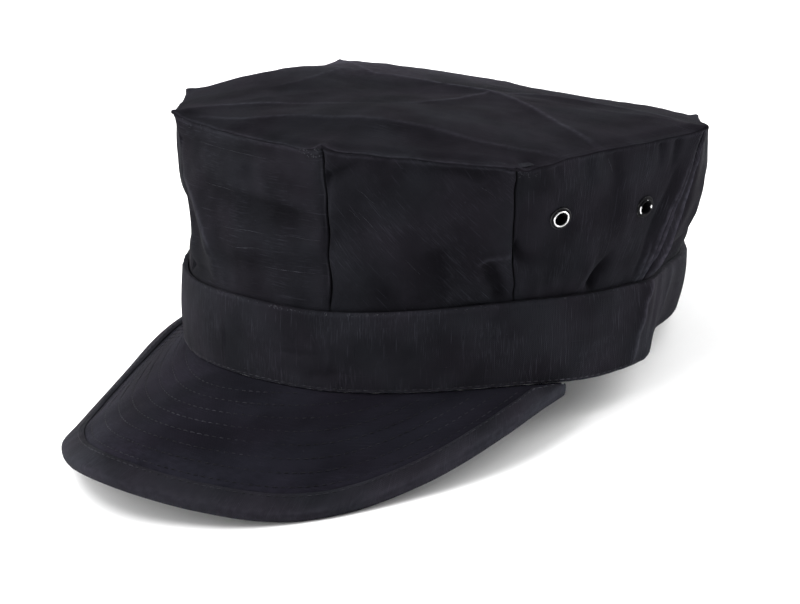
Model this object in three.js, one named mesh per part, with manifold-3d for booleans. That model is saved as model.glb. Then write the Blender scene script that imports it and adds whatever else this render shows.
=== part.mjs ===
// An eight-pointed patrol cap of black ripstop cotton, built as it is sewn: eight side panels, a flat
// eight-cornered top, a band round the base, a stiff peak with a bound edge, and two eyelets a side.
// Millimetres. The cap is modelled in its own frame, with +X to the wearer's left, -Y to the front, +Z up
// and the band's lower edge at z = 0. At the end it is tipped back to stand on its peak and band.
import * as THREE from "three";
import { mergeVertices } from "three/addons/utils/BufferGeometryUtils.js";
import Module from "manifold-3d";

const wasm = await Module();
wasm.setup();

// Driving sizes
const BAND_LENGTH = 208; // outside, front to back
const BAND_WIDTH = 175; // outside, side to side
const BAND_HEIGHT = 29;
const BAND_WALL = 2; // a doubled strip
const BAND_ROUND = 0.7; // how far the band's face swells between its edges
const BAND_WAVE = 1.6; // how far the band's edges rise and fall round the head
const CROWN_HEIGHT = 83; // from the band's lower edge to the top seam
const CROWN_WALL = 1.2;
const CROWN_TUCK = 6; // how far the side panels reach down inside the band
const CROWN_SEAT = 0.5; // between the band and the panels' ends inside it
const TOP_LENGTH = 192; // across the corners of the top, front to back
const TOP_WIDTH = 200;
const TOP_DOME = 5; // how far the top swells above its seam
const TOP_OVERHANG = 0.5; // the top's edge past the side panels
const TOP_TIP = 1.2; // how far each of the eight points sticks out
const FOLD_DEPTH = 3; // the deepest dent in the cloth
const FOLD_WIDTH = 6; // the widest dent's half width
const PANEL_PUFF = 3; // how far the fullest side panel swells
const SEAM_PINCH = 0.9; // how far a seam draws the cloth in
const SEAM_WIDTH = 2.2; // the half width of that groove
const PEAK_REACH = 66; // from the band to the edge, at the middle
const PEAK_HALF_ANGLE = 79; // degrees round the band from the middle to each end
const PEAK_THICK = 2.4;
const BINDING_WIDTH = 10.5;
const BINDING_WALL = 1;
const EYELET_HOLE = 4.6; // diameters
const EYELET_BARREL = 5.4;
const EYELET_FLANGE = 8.2;
const EYELET_RIM = 0.9; // how far the rolled flange stands up
const EYELET_BACK = 0.5; // the washer's thickness inside the cap
const EYELET_EASE = 0.2; // room for the cloth's curve under the flanges
const GAP = 0.3; // between pieces that touch
const FLOOR_PRESS = 0.8; // how far the cloth flattens where the cap stands

// How finely the pieces are cut
const PANEL_STEPS = { along: 12, up: 9 };
const TOP_STEPS = { perEdge: 8, rings: 7 };
const BAND_STEPS = 80;
const PEAK_STEPS = { along: 40, out: 5 };
const ROUND_STEPS = 16;

// The top's eight corners, anticlockwise from the wearer's right of the front. across and back are shares of
// half the top's width and length, rise of the crown's height, seam is the seam's angle at the band in degrees,
// and flare is how late the seam swings out on its way up.
const CORNERS = [
  { name: "front_right", across: -0.424, back: -0.98, rise: 1.02, seam: -24, flare: 1.5 },
  { name: "front_left", across: 0.42, back: -0.98, rise: 1.02, seam: 28.5, flare: 1.25 },
  { name: "left_front", across: 0.93, back: -0.54, rise: 0.975, seam: 68, flare: 1.25 },
  { name: "left_back", across: 1.01, back: 0.35, rise: 1.02, seam: 102, flare: 0.75 },
  { name: "back_left", across: 0.43, back: 0.98, rise: 0.875, seam: 152, flare: 0.9 },
  { name: "back_right", across: -0.45, back: 0.98, rise: 0.85, seam: 208, flare: 1 },
  { name: "right_back", across: -1.0, back: 0.35, rise: 0.995, seam: 258, flare: 1 },
  { name: "right_front", across: -0.9, back: -0.54, rise: 0.97, seam: 292, flare: 1.3 },
];

// One side panel runs from each corner to the next. puff is a share of PANEL_PUFF, and bow and sag are the top
// seam's swing outwards and downwards in mid panel, as shares of TOP_OVERHANG.
const PANELS = [
  { name: "front_panel", puff: 0.3, bow: 3, sag: 2.5 },
  { name: "front_left_panel", puff: 0.9, bow: 1.5, sag: 0.5 },
  { name: "left_panel", puff: 0.9, bow: 2, sag: 0 },
  { name: "back_left_panel", puff: 1.1, bow: 6, sag: 0.5 },
  { name: "back_panel", puff: 0.5, bow: 2, sag: 4 },
  { name: "back_right_panel", puff: 0.8, bow: 1.5, sag: 0.5 },
  { name: "right_panel", puff: 0.7, bow: 2, sag: 0.5 },
  { name: "front_right_panel", puff: 0.6, bow: 1.5, sag: 0.5 },
];

// Dents and swells of the side panels, each along a line from (s0, v0) to (s1, v1): s runs along the panel and
// v up it, both 0 to 1. deep is a share of FOLD_DEPTH, inwards, and wide a share of FOLD_WIDTH.
const FOLDS = [
  { panel: "front_panel", s0: 0.45, v0: 0.62, s1: 1.0, v1: 0.56, deep: 0.65, wide: 1.0 },
  { panel: "front_panel", s0: 0.25, v0: 0.3, s1: 0.95, v1: 0.24, deep: 0.4, wide: 0.8 },
  { panel: "front_panel", s0: 0.05, v0: 0.9, s1: 0.5, v1: 0.92, deep: 0.35, wide: 0.7 },
  { panel: "front_panel", s0: 0.12, v0: 0.42, s1: 0.02, v1: 0.62, deep: -0.3, wide: 0.5 },
  { panel: "front_left_panel", s0: 0.03, v0: 0.84, s1: 0.2, v1: 0.94, deep: 0.35, wide: 0.5 },
  { panel: "front_left_panel", s0: 0.9, v0: 0.02, s1: 0.91, v1: 0.24, deep: 0.75, wide: 0.65 },
  { panel: "front_left_panel", s0: 0.62, v0: 0.08, s1: 0.63, v1: 0.4, deep: 0.35, wide: 0.9 },
  { panel: "front_left_panel", s0: 0.32, v0: 0.04, s1: 0.36, v1: 0.2, deep: 0.3, wide: 0.9 },
  { panel: "left_panel", s0: 0.02, v0: 0.34, s1: 0.09, v1: 0.31, deep: 0.6, wide: 0.55 },
  { panel: "left_panel", s0: 0.54, v0: -0.02, s1: 0.66, v1: 0.3, deep: 1.0, wide: 0.6 },
  { panel: "left_panel", s0: 0.52, v0: 0.6, s1: 0.54, v1: 0.9, deep: 0.25, wide: 0.9 },
  { panel: "left_panel", s0: 0.79, v0: 0.82, s1: 0.77, v1: 0.98, deep: 0.3, wide: 0.4 },
  { panel: "back_left_panel", s0: 0.25, v0: 0.05, s1: 0.6, v1: 0.3, deep: 0.7, wide: 1.0 },
  { panel: "back_panel", s0: 0.2, v0: 0.5, s1: 0.8, v1: 0.42, deep: 0.6, wide: 1.1 },
  { panel: "back_panel", s0: 0.7, v0: 0.05, s1: 0.6, v1: 0.3, deep: 0.5, wide: 0.7 },
  { panel: "back_right_panel", s0: 0.45, v0: 0.02, s1: 0.35, v1: 0.35, deep: 0.7, wide: 0.9 },
  { panel: "right_panel", s0: 0.25, v0: 0.02, s1: 0.35, v1: 0.28, deep: 0.6, wide: 0.8 },
  { panel: "right_panel", s0: 0.75, v0: 0.1, s1: 0.7, v1: 0.3, deep: 0.5, wide: 0.9 },
  { panel: "front_right_panel", s0: 0.3, v0: 0.3, s1: 1.0, v1: 0.35, deep: 1.0, wide: 1.4 },
];

// Swells of the top, as round humps, and creases, as bent ridges of which the highest counts at any place. Places
// are shares of half the top's width and length, high a share of TOP_DOME, and wide a share of half its width. A
// crease runs through points of across, back and high.
const HUMPS = [
  { across: -0.7, back: -0.32, high: 1.7, wide: 0.36 },
  { across: -0.4, back: 0.2, high: 0.4, wide: 0.4 },
  { across: 0.25, back: -0.5, high: 0.35, wide: 0.35 },
  { across: 0.5, back: 0.5, high: -0.35, wide: 0.4 },
  { across: -0.15, back: 0.7, high: -0.3, wide: 0.35 },
];
const CREASES = [
  {
    wide: 0.13,
    path: [
      [-1, 0.33, 0.16],
      [-0.6, 0.06, 0.2],
      [-0.33, -0.08, 0.26],
      [0.2, 0.06, 0.44],
      [0.7, -0.09, 0.36],
      [0.99, -0.16, 0.1],
    ],
  },
  {
    wide: 0.12,
    path: [
      [-0.42, -0.97, 0.1],
      [-0.25, -0.73, 0.28],
      [0.02, -0.55, 0.18],
      [0.2, -0.34, 0.16],
      [0.2, 0.05, 0.32],
    ],
  },
  {
    wide: 0.13,
    path: [
      [0.2, 0.05, 0.32],
      [0.6, 0.33, 0.4],
      [1, 0.35, 0.08],
    ],
  },
  {
    wide: 0.17,
    path: [
      [-0.4, -0.97, 0],
      [-0.05, -0.88, 0.5],
      [0.28, -0.72, 0.64],
      [0.52, -0.57, 0.6],
      [0.83, -0.44, 0.34],
      [0.95, -0.3, 0.1],
    ],
  },
];

// The band's two edges round the head, at angles from the front, the same on both sides. upper and lower lift
// its seam with the crown and its hem, and tuck draws the hem inwards, all by shares of BAND_WAVE.
const BAND_EDGES = [
  { angle: 0, upper: -0.6, lower: -0.2, tuck: 0.1 },
  { angle: 28, upper: -1.2, lower: -0.6, tuck: 0.1 },
  { angle: 66, upper: 0.6, lower: 0, tuck: 0.1 },
  { angle: 88, upper: 0, lower: -1.5, tuck: 0.1 },
  { angle: 102, upper: -0.3, lower: -0.6, tuck: 0.1 },
  { angle: 112, upper: -0.3, lower: 1.2, tuck: 3 },
  { angle: 125, upper: -0.1, lower: 2, tuck: 3.2 },
  { angle: 142, upper: 0, lower: 2.4, tuck: 1.2 },
  { angle: 157, upper: 0, lower: 0.9, tuck: 0.3 },
  { angle: 169, upper: 0, lower: 0, tuck: 0.1 },
  { angle: 180, upper: 0, lower: 0, tuck: 0.1 },
];

// Upright folds of the band and of the cloth sewn into it, at angles from the front: deep is a share of
// FOLD_DEPTH, inwards, and wide the half width in degrees.
const BAND_FOLDS = [
  { angle: 14, deep: 0.2, wide: 9 },
  { angle: 104, deep: -0.5, wide: 5 },
  { angle: 118, deep: 0.8, wide: 9 },
  { angle: 145, deep: 0.8, wide: 16 },
  { angle: 244, deep: 0.5, wide: 8 },
  { angle: 256, deep: -0.3, wide: 6 },
];

// The peak's straight lines out from the band, by their share of the way from its middle to each end: reach is
// a share of PEAK_REACH, fall the angle below the band's plane and turn the angle away from the front.
const PEAK_LINES = [
  { place: 0, reach: 1, fall: 22.3, turn: 0 },
  { place: 0.235, reach: 0.92, fall: 29.2, turn: 11.8 },
  { place: 0.47, reach: 0.79, fall: 38.4, turn: 22.5 },
  { place: 0.655, reach: 0.575, fall: 39.2, turn: 34.6 },
  { place: 0.8, reach: 0.365, fall: 30.1, turn: 49.3 },
  { place: 0.93, reach: 0.165, fall: 20, turn: 62 },
  { place: 1, reach: 0.07, fall: 10, turn: 70 },
];

// Eyelets, on the side panels: s and v as in FOLDS, counted from the front on both sides.
const EYELETS = [
  { name: "front", s: 0.235, v: 0.6 },
  { name: "rear", s: 0.735, v: 0.575 },
];

const LOOKS = {
  cloth: { color: 0x1d1d21, roughness: 0.9, metalness: 0 },
  top: { color: 0x202024, roughness: 0.9, metalness: 0 },
  binding: { color: 0x19191d, roughness: 0.85, metalness: 0 },
  eyelet: { color: 0x3a3a3c, roughness: 0.3, metalness: 0.9 },
};

// A smooth curve through a table's rows: the value of one column at x. It starts level, or on its way where
// its first value is 0.
function column(rows, key, value, x) {
  const last = rows.length - 1;
  const at = Math.min(Math.max(x, rows[0][key]), rows[last][key]);
  let i = 0;
  while (i < last - 1 && at > rows[i + 1][key]) i += 1;
  const slope = (j) => {
    const [a, b] = [rows[Math.max(j - 1, 0)], rows[Math.min(j + 1, last)]];
    return (b[value] - a[value]) / (b[key] - a[key]);
  };
  const [p, q] = [rows[i], rows[i + 1]];
  const span = q[key] - p[key];
  const t = (at - p[key]) / span;
  const first = i === 0 && p[value] !== 0 ? 0 : slope(i);
  const [t2, t3] = [t * t, t * t * t];
  return (
    p[value] * (2 * t3 - 3 * t2 + 1) +
    first * span * (t3 - 2 * t2 + t) +
    q[value] * (3 * t2 - 2 * t3) +
    slope(i + 1) * span * (t3 - t2)
  );
}

const bell = (x) => Math.exp(-x * x);
const mix = THREE.MathUtils.lerp;
const radians = THREE.MathUtils.degToRad;

// The share of a fold that acts at a point: 1 on the line from (x0, y0) to (x1, y1), fading over wide.
function nearLine(x, y, line, wide) {
  const [dx, dy] = [line.x1 - line.x0, line.y1 - line.y0];
  const t = ((x - line.x0) * dx + (y - line.y0) * dy) / (dx * dx + dy * dy);
  const k = Math.min(Math.max(t, 0), 1);
  return bell(Math.hypot(x - line.x0 - k * dx, y - line.y0 - k * dy) / wide);
}

// A crease's height at a place of the top, by the nearest point of its path.
function creaseHeight(across, back, { wide, path }) {
  let [nearest, height] = [Infinity, 0];
  for (let j = 1; j < path.length; j += 1) {
    const [[x0, y0, from], [x1, y1, to]] = [path[j - 1], path[j]];
    const [dx, dy] = [x1 - x0, y1 - y0];
    const t = ((across - x0) * dx + (back - y0) * dy) / (dx * dx + dy * dy);
    const k = Math.min(Math.max(t, 0), 1);
    const away = Math.hypot(across - x0 - k * dx, back - y0 - k * dy);
    if (away < nearest) [nearest, height] = [away, mix(from, to, k)];
  }
  return height * bell(nearest / wide);
}

// The shorter way round from one angle to another, in degrees.
const apart = (a, b) => Math.abs(THREE.MathUtils.euclideanModulo(a - b + 180, 360) - 180);

// An oval round the head, inset from the band's outside, at an angle from the front, with the band's folds.
function oval(angle, inset, z) {
  const turn = radians(angle);
  let deep = inset;
  for (const f of BAND_FOLDS) deep += FOLD_DEPTH * f.deep * bell(apart(angle, f.angle) / f.wide);
  return new THREE.Vector3(
    (BAND_WIDTH / 2 - deep) * Math.sin(turn),
    -(BAND_LENGTH / 2 - deep) * Math.cos(turn),
    z,
  );
}

// A point of the band's wall, inset from its outside: high is 0 at the hem and 1 at the seam with the crown.
function bandPoint(angle, high, inset) {
  const wave = (value) => BAND_WAVE * column(BAND_EDGES, "angle", value, apart(angle, 0));
  const tuck = wave("tuck") * (1 - high) ** 1.5;
  return oval(angle, inset + tuck, mix(wave("lower"), BAND_HEIGHT + wave("upper"), high));
}

// The crown's wall. a runs 0 to 8 round the corners, from one seam to the next.
function place(a) {
  const around = THREE.MathUtils.euclideanModulo(a, CORNERS.length);
  const i = Math.floor(around) % CORNERS.length;
  const next = (i + 1) % CORNERS.length;
  return { i, next, s: around - i };
}

function cornerPoint(i, tip) {
  const { across, back, rise } = CORNERS[i];
  const flat = new THREE.Vector2((across * TOP_WIDTH) / 2, (back * TOP_LENGTH) / 2);
  flat.setLength(flat.length() + tip);
  return new THREE.Vector3(flat.x, flat.y, rise * CROWN_HEIGHT);
}

function topSeam(a) {
  const { i, next, s } = place(a);
  const [from, to] = [cornerPoint(i, 0), cornerPoint(next, 0)];
  const out = new THREE.Vector2(to.y - from.y, from.x - to.x).normalize();
  const swing = 4 * s * (1 - s) * TOP_OVERHANG;
  const p = from.clone().lerp(to, s);
  p.x += out.x * swing * PANELS[i].bow;
  p.y += out.y * swing * PANELS[i].bow;
  p.z -= swing * PANELS[i].sag;
  return p;
}

function seamAngle(a) {
  const { i, next, s } = place(a);
  const to = CORNERS[next].seam;
  return mix(CORNERS[i].seam, to < CORNERS[i].seam ? to + 360 : to, s);
}

const PANEL_HEIGHT = CROWN_HEIGHT - BAND_HEIGHT;

// The plain wall, before folds: an oval at the band, flaring out to the eight-cornered seam. v is 0 at the
// band's upper edge, 1 at the top seam and below 0 inside the band.
function plainWall(a, v) {
  const { i, next, s } = place(a);
  const angle = seamAngle(a);
  const low = bandPoint(angle, 1, BAND_WALL + CROWN_SEAT);
  if (v < 0) return bandPoint(angle, 1 + (v * PANEL_HEIGHT) / BAND_HEIGHT, BAND_WALL + CROWN_SEAT);
  const high = topSeam(a);
  const flare = v ** mix(CORNERS[i].flare, CORNERS[next].flare, s);
  return new THREE.Vector3(
    mix(low.x, high.x, flare),
    mix(low.y, high.y, flare),
    mix(low.z, high.z, v),
  );
}

function normalOf(surface, a, v) {
  const step = 0.012;
  const alongA = surface(a + step, v).sub(surface(a - step, v));
  const alongV = surface(a, v + step).sub(surface(a, v - step));
  return alongA.cross(alongV).normalize();
}

const panelWidth = (i) => cornerPoint(i, 0).distanceTo(cornerPoint((i + 1) % CORNERS.length, 0));

// How far the cloth stands out of the plain wall at a place.
function relief(a, v) {
  const { i, s } = place(a);
  const width = panelWidth(i);
  const rise = Math.sin(Math.PI * Math.min(Math.max(v, 0), 1));
  let out = PANEL_PUFF * PANELS[i].puff * Math.sin(Math.PI * s) * rise;
  for (const f of FOLDS) {
    if (f.panel !== PANELS[i].name) continue;
    const line = {
      x0: f.s0 * width,
      y0: f.v0 * PANEL_HEIGHT,
      x1: f.s1 * width,
      y1: f.v1 * PANEL_HEIGHT,
    };
    const share = nearLine(s * width, v * PANEL_HEIGHT, line, f.wide * FOLD_WIDTH);
    out -= FOLD_DEPTH * f.deep * share * Math.sin(Math.PI * s) ** 0.5;
  }
  const toSeam = Math.min(s, 1 - s) * width;
  out -= SEAM_PINCH * bell(toSeam / SEAM_WIDTH);
  const held = THREE.MathUtils.smoothstep(1 - v, 0, 0.08) * THREE.MathUtils.smoothstep(v, 0, 0.07);
  return out * held;
}

function wall(a, v) {
  const p = plainWall(a, v);
  return p.addScaledVector(normalOf(plainWall, a, v), relief(a, v));
}

// Meshes
function geometryOf(points, triangles) {
  const g = new THREE.BufferGeometry().setFromPoints(points);
  g.setIndex(triangles.flat());
  return g;
}

// A closed solid between two grids of points, rows by columns, the outer one seen anticlockwise from outside.
function slab(outer, inner) {
  const [rows, columns] = [outer.length, outer[0].length];
  const points = [...outer.flat(), ...inner.flat()];
  const half = rows * columns;
  const at = (r, c, side) => side * half + r * columns + c;
  const triangles = [];
  const quad = (a, b, c, d) => triangles.push([a, b, c], [a, c, d]);
  for (let r = 0; r < rows - 1; r += 1) {
    for (let c = 0; c < columns - 1; c += 1) {
      quad(at(r, c, 0), at(r, c + 1, 0), at(r + 1, c + 1, 0), at(r + 1, c, 0));
      quad(at(r, c, 1), at(r + 1, c, 1), at(r + 1, c + 1, 1), at(r, c + 1, 1));
    }
  }
  for (let c = 0; c < columns - 1; c += 1) {
    quad(at(0, c, 1), at(0, c + 1, 1), at(0, c + 1, 0), at(0, c, 0));
    quad(at(rows - 1, c, 0), at(rows - 1, c + 1, 0), at(rows - 1, c + 1, 1), at(rows - 1, c, 1));
  }
  for (let r = 0; r < rows - 1; r += 1) {
    quad(at(r, 0, 0), at(r + 1, 0, 0), at(r + 1, 0, 1), at(r, 0, 1));
    quad(at(r, columns - 1, 1), at(r + 1, columns - 1, 1), at(r + 1, columns - 1, 0), at(r, columns - 1, 0));
  }
  return geometryOf(points, triangles);
}

// A closed solid through sections of equal length, joined end to end where ring is true and capped elsewhere.
// outline is one section drawn flat, for its caps.
function sweep(sections, outline, ring) {
  const [count, size] = [sections.length, sections[0].length];
  const triangles = [];
  for (let j = 0; j < (ring ? count : count - 1); j += 1) {
    const next = (j + 1) % count;
    for (let k = 0; k < size; k += 1) {
      const up = (k + 1) % size;
      const [a, b, c, d] = [j * size + k, j * size + up, next * size + up, next * size + k];
      triangles.push([a, b, c], [a, c, d]);
    }
  }
  if (!ring) {
    const cap = THREE.ShapeUtils.triangulateShape(outline, []);
    const end = (count - 1) * size;
    const turned = THREE.ShapeUtils.isClockWise(outline);
    for (const [a, b, c] of cap) {
      triangles.push(turned ? [a, b, c] : [a, c, b]);
      triangles.push(turned ? [end + a, end + c, end + b] : [end + a, end + b, end + c]);
    }
  }
  return geometryOf(sections.flat(), triangles);
}

function solidOf(geometry) {
  const bare = geometry.clone();
  bare.deleteAttribute("normal");
  bare.deleteAttribute("uv");
  const merged = mergeVertices(bare);
  return new wasm.Manifold(
    new wasm.Mesh({
      numProp: 3,
      vertProperties: new Float32Array(merged.attributes.position.array),
      triVerts: new Uint32Array(merged.index.array),
    }),
  );
}

function geometryFrom(solid) {
  const mesh = solid.getMesh();
  const g = new THREE.BufferGeometry();
  g.setAttribute("position", new THREE.BufferAttribute(new Float32Array(mesh.vertProperties), 3));
  g.setIndex(new THREE.BufferAttribute(new Uint32Array(mesh.triVerts), 1));
  return g;
}

function meshOf(name, geometry, look) {
  geometry.computeVertexNormals();
  const mesh = new THREE.Mesh(geometry, new THREE.MeshStandardMaterial(look));
  mesh.name = name;
  return mesh;
}

// The side panels
const EYELET_PANELS = { left_panel: false, right_panel: true }; // true where s runs from back to front

function eyeletSeats(panelName) {
  if (!(panelName in EYELET_PANELS)) return [];
  const backwards = EYELET_PANELS[panelName];
  const i = PANELS.findIndex((p) => p.name === panelName);
  return EYELETS.map(({ name, s, v }) => {
    const a = i + (backwards ? 1 - s : s);
    return { name, point: wall(a, v), normal: normalOf(wall, a, v) };
  });
}

function turnedTo(geometry, point, normal) {
  const turn = new THREE.Quaternion().setFromUnitVectors(new THREE.Vector3(0, 1, 0), normal);
  return geometry.applyMatrix4(new THREE.Matrix4().compose(point, turn, new THREE.Vector3(1, 1, 1)));
}

// The heights of a panel's rows of points: two inside the band, then evenly up to the top seam.
function panelHeights() {
  const lowest = -CROWN_TUCK / PANEL_HEIGHT;
  const highest = 1 - GAP / PANEL_HEIGHT;
  const above = Array.from({ length: PANEL_STEPS.up + 1 }, (_, r) => (highest * r) / PANEL_STEPS.up);
  return [lowest, lowest / 2, ...above];
}

function sidePanel(i) {
  const gapShare = GAP / 2 / panelWidth(i);
  const [outer, inner] = [[], []];
  for (const v of panelHeights()) {
    const rows = [[], []];
    for (let c = 0; c <= PANEL_STEPS.along; c += 1) {
      const a = i + mix(gapShare, 1 - gapShare, c / PANEL_STEPS.along);
      const p = wall(a, v);
      rows[0].push(p);
      rows[1].push(p.clone().addScaledVector(normalOf(wall, a, v), -CROWN_WALL));
    }
    outer.push(rows[0]);
    inner.push(rows[1]);
  }
  const cloth = slab(outer, inner);
  const seats = eyeletSeats(PANELS[i].name);
  if (!seats.length) return meshOf(PANELS[i].name, cloth, LOOKS.cloth);
  let solid = solidOf(cloth);
  for (const { point, normal } of seats) {
    const radius = EYELET_BARREL / 2 + GAP;
    const drill = new THREE.CylinderGeometry(radius, radius, CROWN_WALL * 6, ROUND_STEPS);
    solid = solid.subtract(solidOf(turnedTo(drill, point, normal)));
  }
  return meshOf(PANELS[i].name, geometryFrom(solid), LOOKS.cloth);
}

// A spool: a rolled flange outside the cloth, a barrel through it and a washer inside.
function eyelet(name, { point, normal }) {
  const [hole, barrel, flange] = [EYELET_HOLE / 2, EYELET_BARREL / 2, EYELET_FLANGE / 2];
  const [front, back] = [GAP + EYELET_EASE, -CROWN_WALL - GAP - EYELET_EASE];
  const profile = [
    [hole, back - EYELET_BACK],
    [flange, back - EYELET_BACK],
    [flange, back],
    [barrel, back],
    [barrel, front],
    [flange, front],
    [flange, front + EYELET_RIM * 0.4],
    [mix(barrel, flange, 0.6), front + EYELET_RIM],
    [barrel, front + EYELET_RIM * 0.9],
    [hole, front],
    [hole, back - EYELET_BACK],
  ].map(([x, y]) => new THREE.Vector2(x, y));
  const ring = new THREE.LatheGeometry(profile, ROUND_STEPS);
  return meshOf(name, geometryFrom(solidOf(turnedTo(ring, point, normal))), LOOKS.eyelet);
}

// The top: a swelling eight-cornered sheet, drawn ring by ring from its middle.
function topPoint(a, k, lower) {
  const seam = topSeam(a);
  const { s, i } = place(a);
  const edge = seam.clone();
  const toTip = Math.min(s, 1 - s) * panelWidth(i);
  const reach = TOP_OVERHANG + TOP_TIP * bell(toTip / (TOP_TIP * 1.5));
  const flat = new THREE.Vector2(edge.x, edge.y);
  flat.setLength(flat.length() + reach);
  const [x, y] = [flat.x * k, flat.y * k];
  const rim = 1 - k ** 3;
  let z = mix(CROWN_HEIGHT, seam.z, k * k) + TOP_DOME * rim;
  const [across, back] = [(2 * x) / TOP_WIDTH, (2 * y) / TOP_LENGTH];
  for (const h of HUMPS) {
    z += TOP_DOME * h.high * rim * bell(Math.hypot(across - h.across, back - h.back) / h.wide);
  }
  const ridge = Math.max(...CREASES.map((crease) => creaseHeight(across, back, crease)));
  z += TOP_DOME * ridge * Math.sqrt(rim);
  return new THREE.Vector3(x, y, z + (lower ? 0 : CROWN_WALL));
}

function crownTop() {
  const around = CORNERS.length * TOP_STEPS.perEdge;
  const points = [];
  const triangles = [];
  for (const lower of [false, true]) {
    points.push(topPoint(0, 0, lower));
    for (let ring = 1; ring <= TOP_STEPS.rings; ring += 1) {
      for (let j = 0; j < around; j += 1) {
        points.push(topPoint(j / TOP_STEPS.perEdge, ring / TOP_STEPS.rings, lower));
      }
    }
  }
  const half = 1 + TOP_STEPS.rings * around;
  const at = (side, ring, j) => side * half + 1 + (ring - 1) * around + (j % around);
  const face = (side, a, b, c) => triangles.push(side ? [a, c, b] : [a, b, c]);
  for (let j = 0; j < around; j += 1) {
    for (const side of [0, 1]) {
      face(side, side * half, at(side, 1, j), at(side, 1, j + 1));
      for (let ring = 1; ring < TOP_STEPS.rings; ring += 1) {
        face(side, at(side, ring, j), at(side, ring + 1, j), at(side, ring + 1, j + 1));
        face(side, at(side, ring, j), at(side, ring + 1, j + 1), at(side, ring, j + 1));
      }
    }
    const rim = TOP_STEPS.rings;
    triangles.push([at(0, rim, j), at(1, rim, j), at(1, rim, j + 1)]);
    triangles.push([at(0, rim, j), at(1, rim, j + 1), at(0, rim, j + 1)]);
  }
  return meshOf("crown_top", geometryOf(points, triangles), LOOKS.top);
}

// The band's section: high is a share of BAND_HEIGHT, swell a share of BAND_ROUND outwards.
const BAND_SECTION = [
  { high: 0, swell: 0 },
  { high: 0.35, swell: 1 },
  { high: 0.7, swell: 0.9 },
  { high: 1, swell: 0 },
];

function band() {
  const sections = [];
  for (let j = 0; j < BAND_STEPS; j += 1) {
    const angle = (360 * j) / BAND_STEPS;
    sections.push([
      ...BAND_SECTION.map(({ high, swell }) => bandPoint(angle, high, -BAND_ROUND * swell)),
      ...BAND_SECTION.toReversed().map(({ high }) => bandPoint(angle, high, BAND_WALL)),
    ]);
  }
  return meshOf("band", sweep(sections.toReversed(), [], true), LOOKS.cloth);
}

// The peak: straight lines out from under the band, fanning and falling. place runs from -1 to 1.
function peakLine(share) {
  const row = (value) => column(PEAK_LINES, "place", value, Math.abs(share));
  const angle = share * PEAK_HALF_ANGLE;
  const [fall, turn] = [radians(row("fall")), radians(row("turn")) * Math.sign(share)];
  const way = new THREE.Vector3(
    Math.sin(turn) * Math.cos(fall),
    -Math.cos(turn) * Math.cos(fall),
    -Math.sin(fall),
  );
  const start = bandPoint(angle, 0, BAND_WALL / 2);
  start.z -= GAP;
  return { start, way, reach: PEAK_REACH * row("reach") };
}

function peakPoint(share, out) {
  const { start, way } = peakLine(share);
  return start.addScaledVector(way, out);
}

function peakNormal(share, out) {
  const step = 0.01;
  const along = peakPoint(share + step, out).sub(peakPoint(share - step, out));
  return along.cross(peakLine(share).way).negate().normalize();
}

const BINDING_NOSE = BINDING_WALL + GAP; // from the stiff peak's edge to the binding's outer edge

function peak() {
  const [top, under] = [[], []];
  for (let c = 0; c <= PEAK_STEPS.along; c += 1) {
    const share = mix(-1, 1, c / PEAK_STEPS.along);
    const length = peakLine(share).reach - BINDING_NOSE;
    const rows = [[], []];
    for (let r = 0; r <= PEAK_STEPS.out; r += 1) {
      const out = (length * r) / PEAK_STEPS.out;
      const p = peakPoint(share, out);
      rows[0].push(p);
      rows[1].push(p.clone().addScaledVector(peakNormal(share, out), -PEAK_THICK));
    }
    top.push(rows[0]);
    under.push(rows[1]);
  }
  return meshOf("peak", slab(top, under), LOOKS.cloth);
}

// The binding's section: in is the way in from the outer edge, up the height over the peak's upper face.
function bindingSection(width) {
  const [over, low] = [GAP + BINDING_WALL, -PEAK_THICK - GAP];
  const under = low - BINDING_WALL;
  const middle = (over + under) / 2;
  return [
    [width, over],
    [BINDING_WALL * 0.8, over],
    [BINDING_WALL * 0.2, mix(middle, over, 0.6)],
    [0, middle],
    [BINDING_WALL * 0.2, mix(middle, under, 0.6)],
    [BINDING_WALL * 0.8, under],
    [width, under],
    [width, low],
    [BINDING_WALL, low],
    [BINDING_WALL, GAP],
    [width, GAP],
  ];
}

function peakBinding() {
  const sections = [];
  for (let c = 0; c <= PEAK_STEPS.along; c += 1) {
    const share = mix(-1, 1, c / PEAK_STEPS.along);
    const { reach } = peakLine(share);
    const width = Math.min(BINDING_WIDTH, reach - BAND_WALL - GAP);
    sections.push(
      bindingSection(width).map(([inward, up]) => {
        const out = reach - inward;
        return peakPoint(share, out).addScaledVector(peakNormal(share, out), up);
      }),
    );
  }
  const outline = bindingSection(BINDING_WIDTH).map(([x, y]) => new THREE.Vector2(x, y));
  return meshOf("peak_binding", sweep(sections, outline, false), LOOKS.binding);
}

// Assembly
const cap = new THREE.Group();
cap.add(crownTop(), band(), peak(), peakBinding());
PANELS.forEach((panel, i) => {
  cap.add(sidePanel(i));
  const side = panel.name.replace("_panel", "");
  for (const seat of eyeletSeats(panel.name)) cap.add(eyelet(`eyelet_${side}_${seat.name}`, seat));
});

// The floor, in the cap's frame: it touches the band's back edge and the lowest points of the peak.
function floorUnder(group) {
  const heel = bandPoint(180, 0, 0);
  let tilt = 0;
  const binding = group.getObjectByName("peak_binding").geometry.attributes.position;
  for (let j = 0; j < binding.count; j += 1) {
    tilt = Math.max(tilt, Math.atan2(heel.z - binding.getZ(j), heel.y - binding.getY(j)));
  }
  const up = new THREE.Vector3(0, -Math.sin(tilt), Math.cos(tilt));
  return { tilt, floor: new THREE.Plane().setFromNormalAndCoplanarPoint(up, heel) };
}

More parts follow.
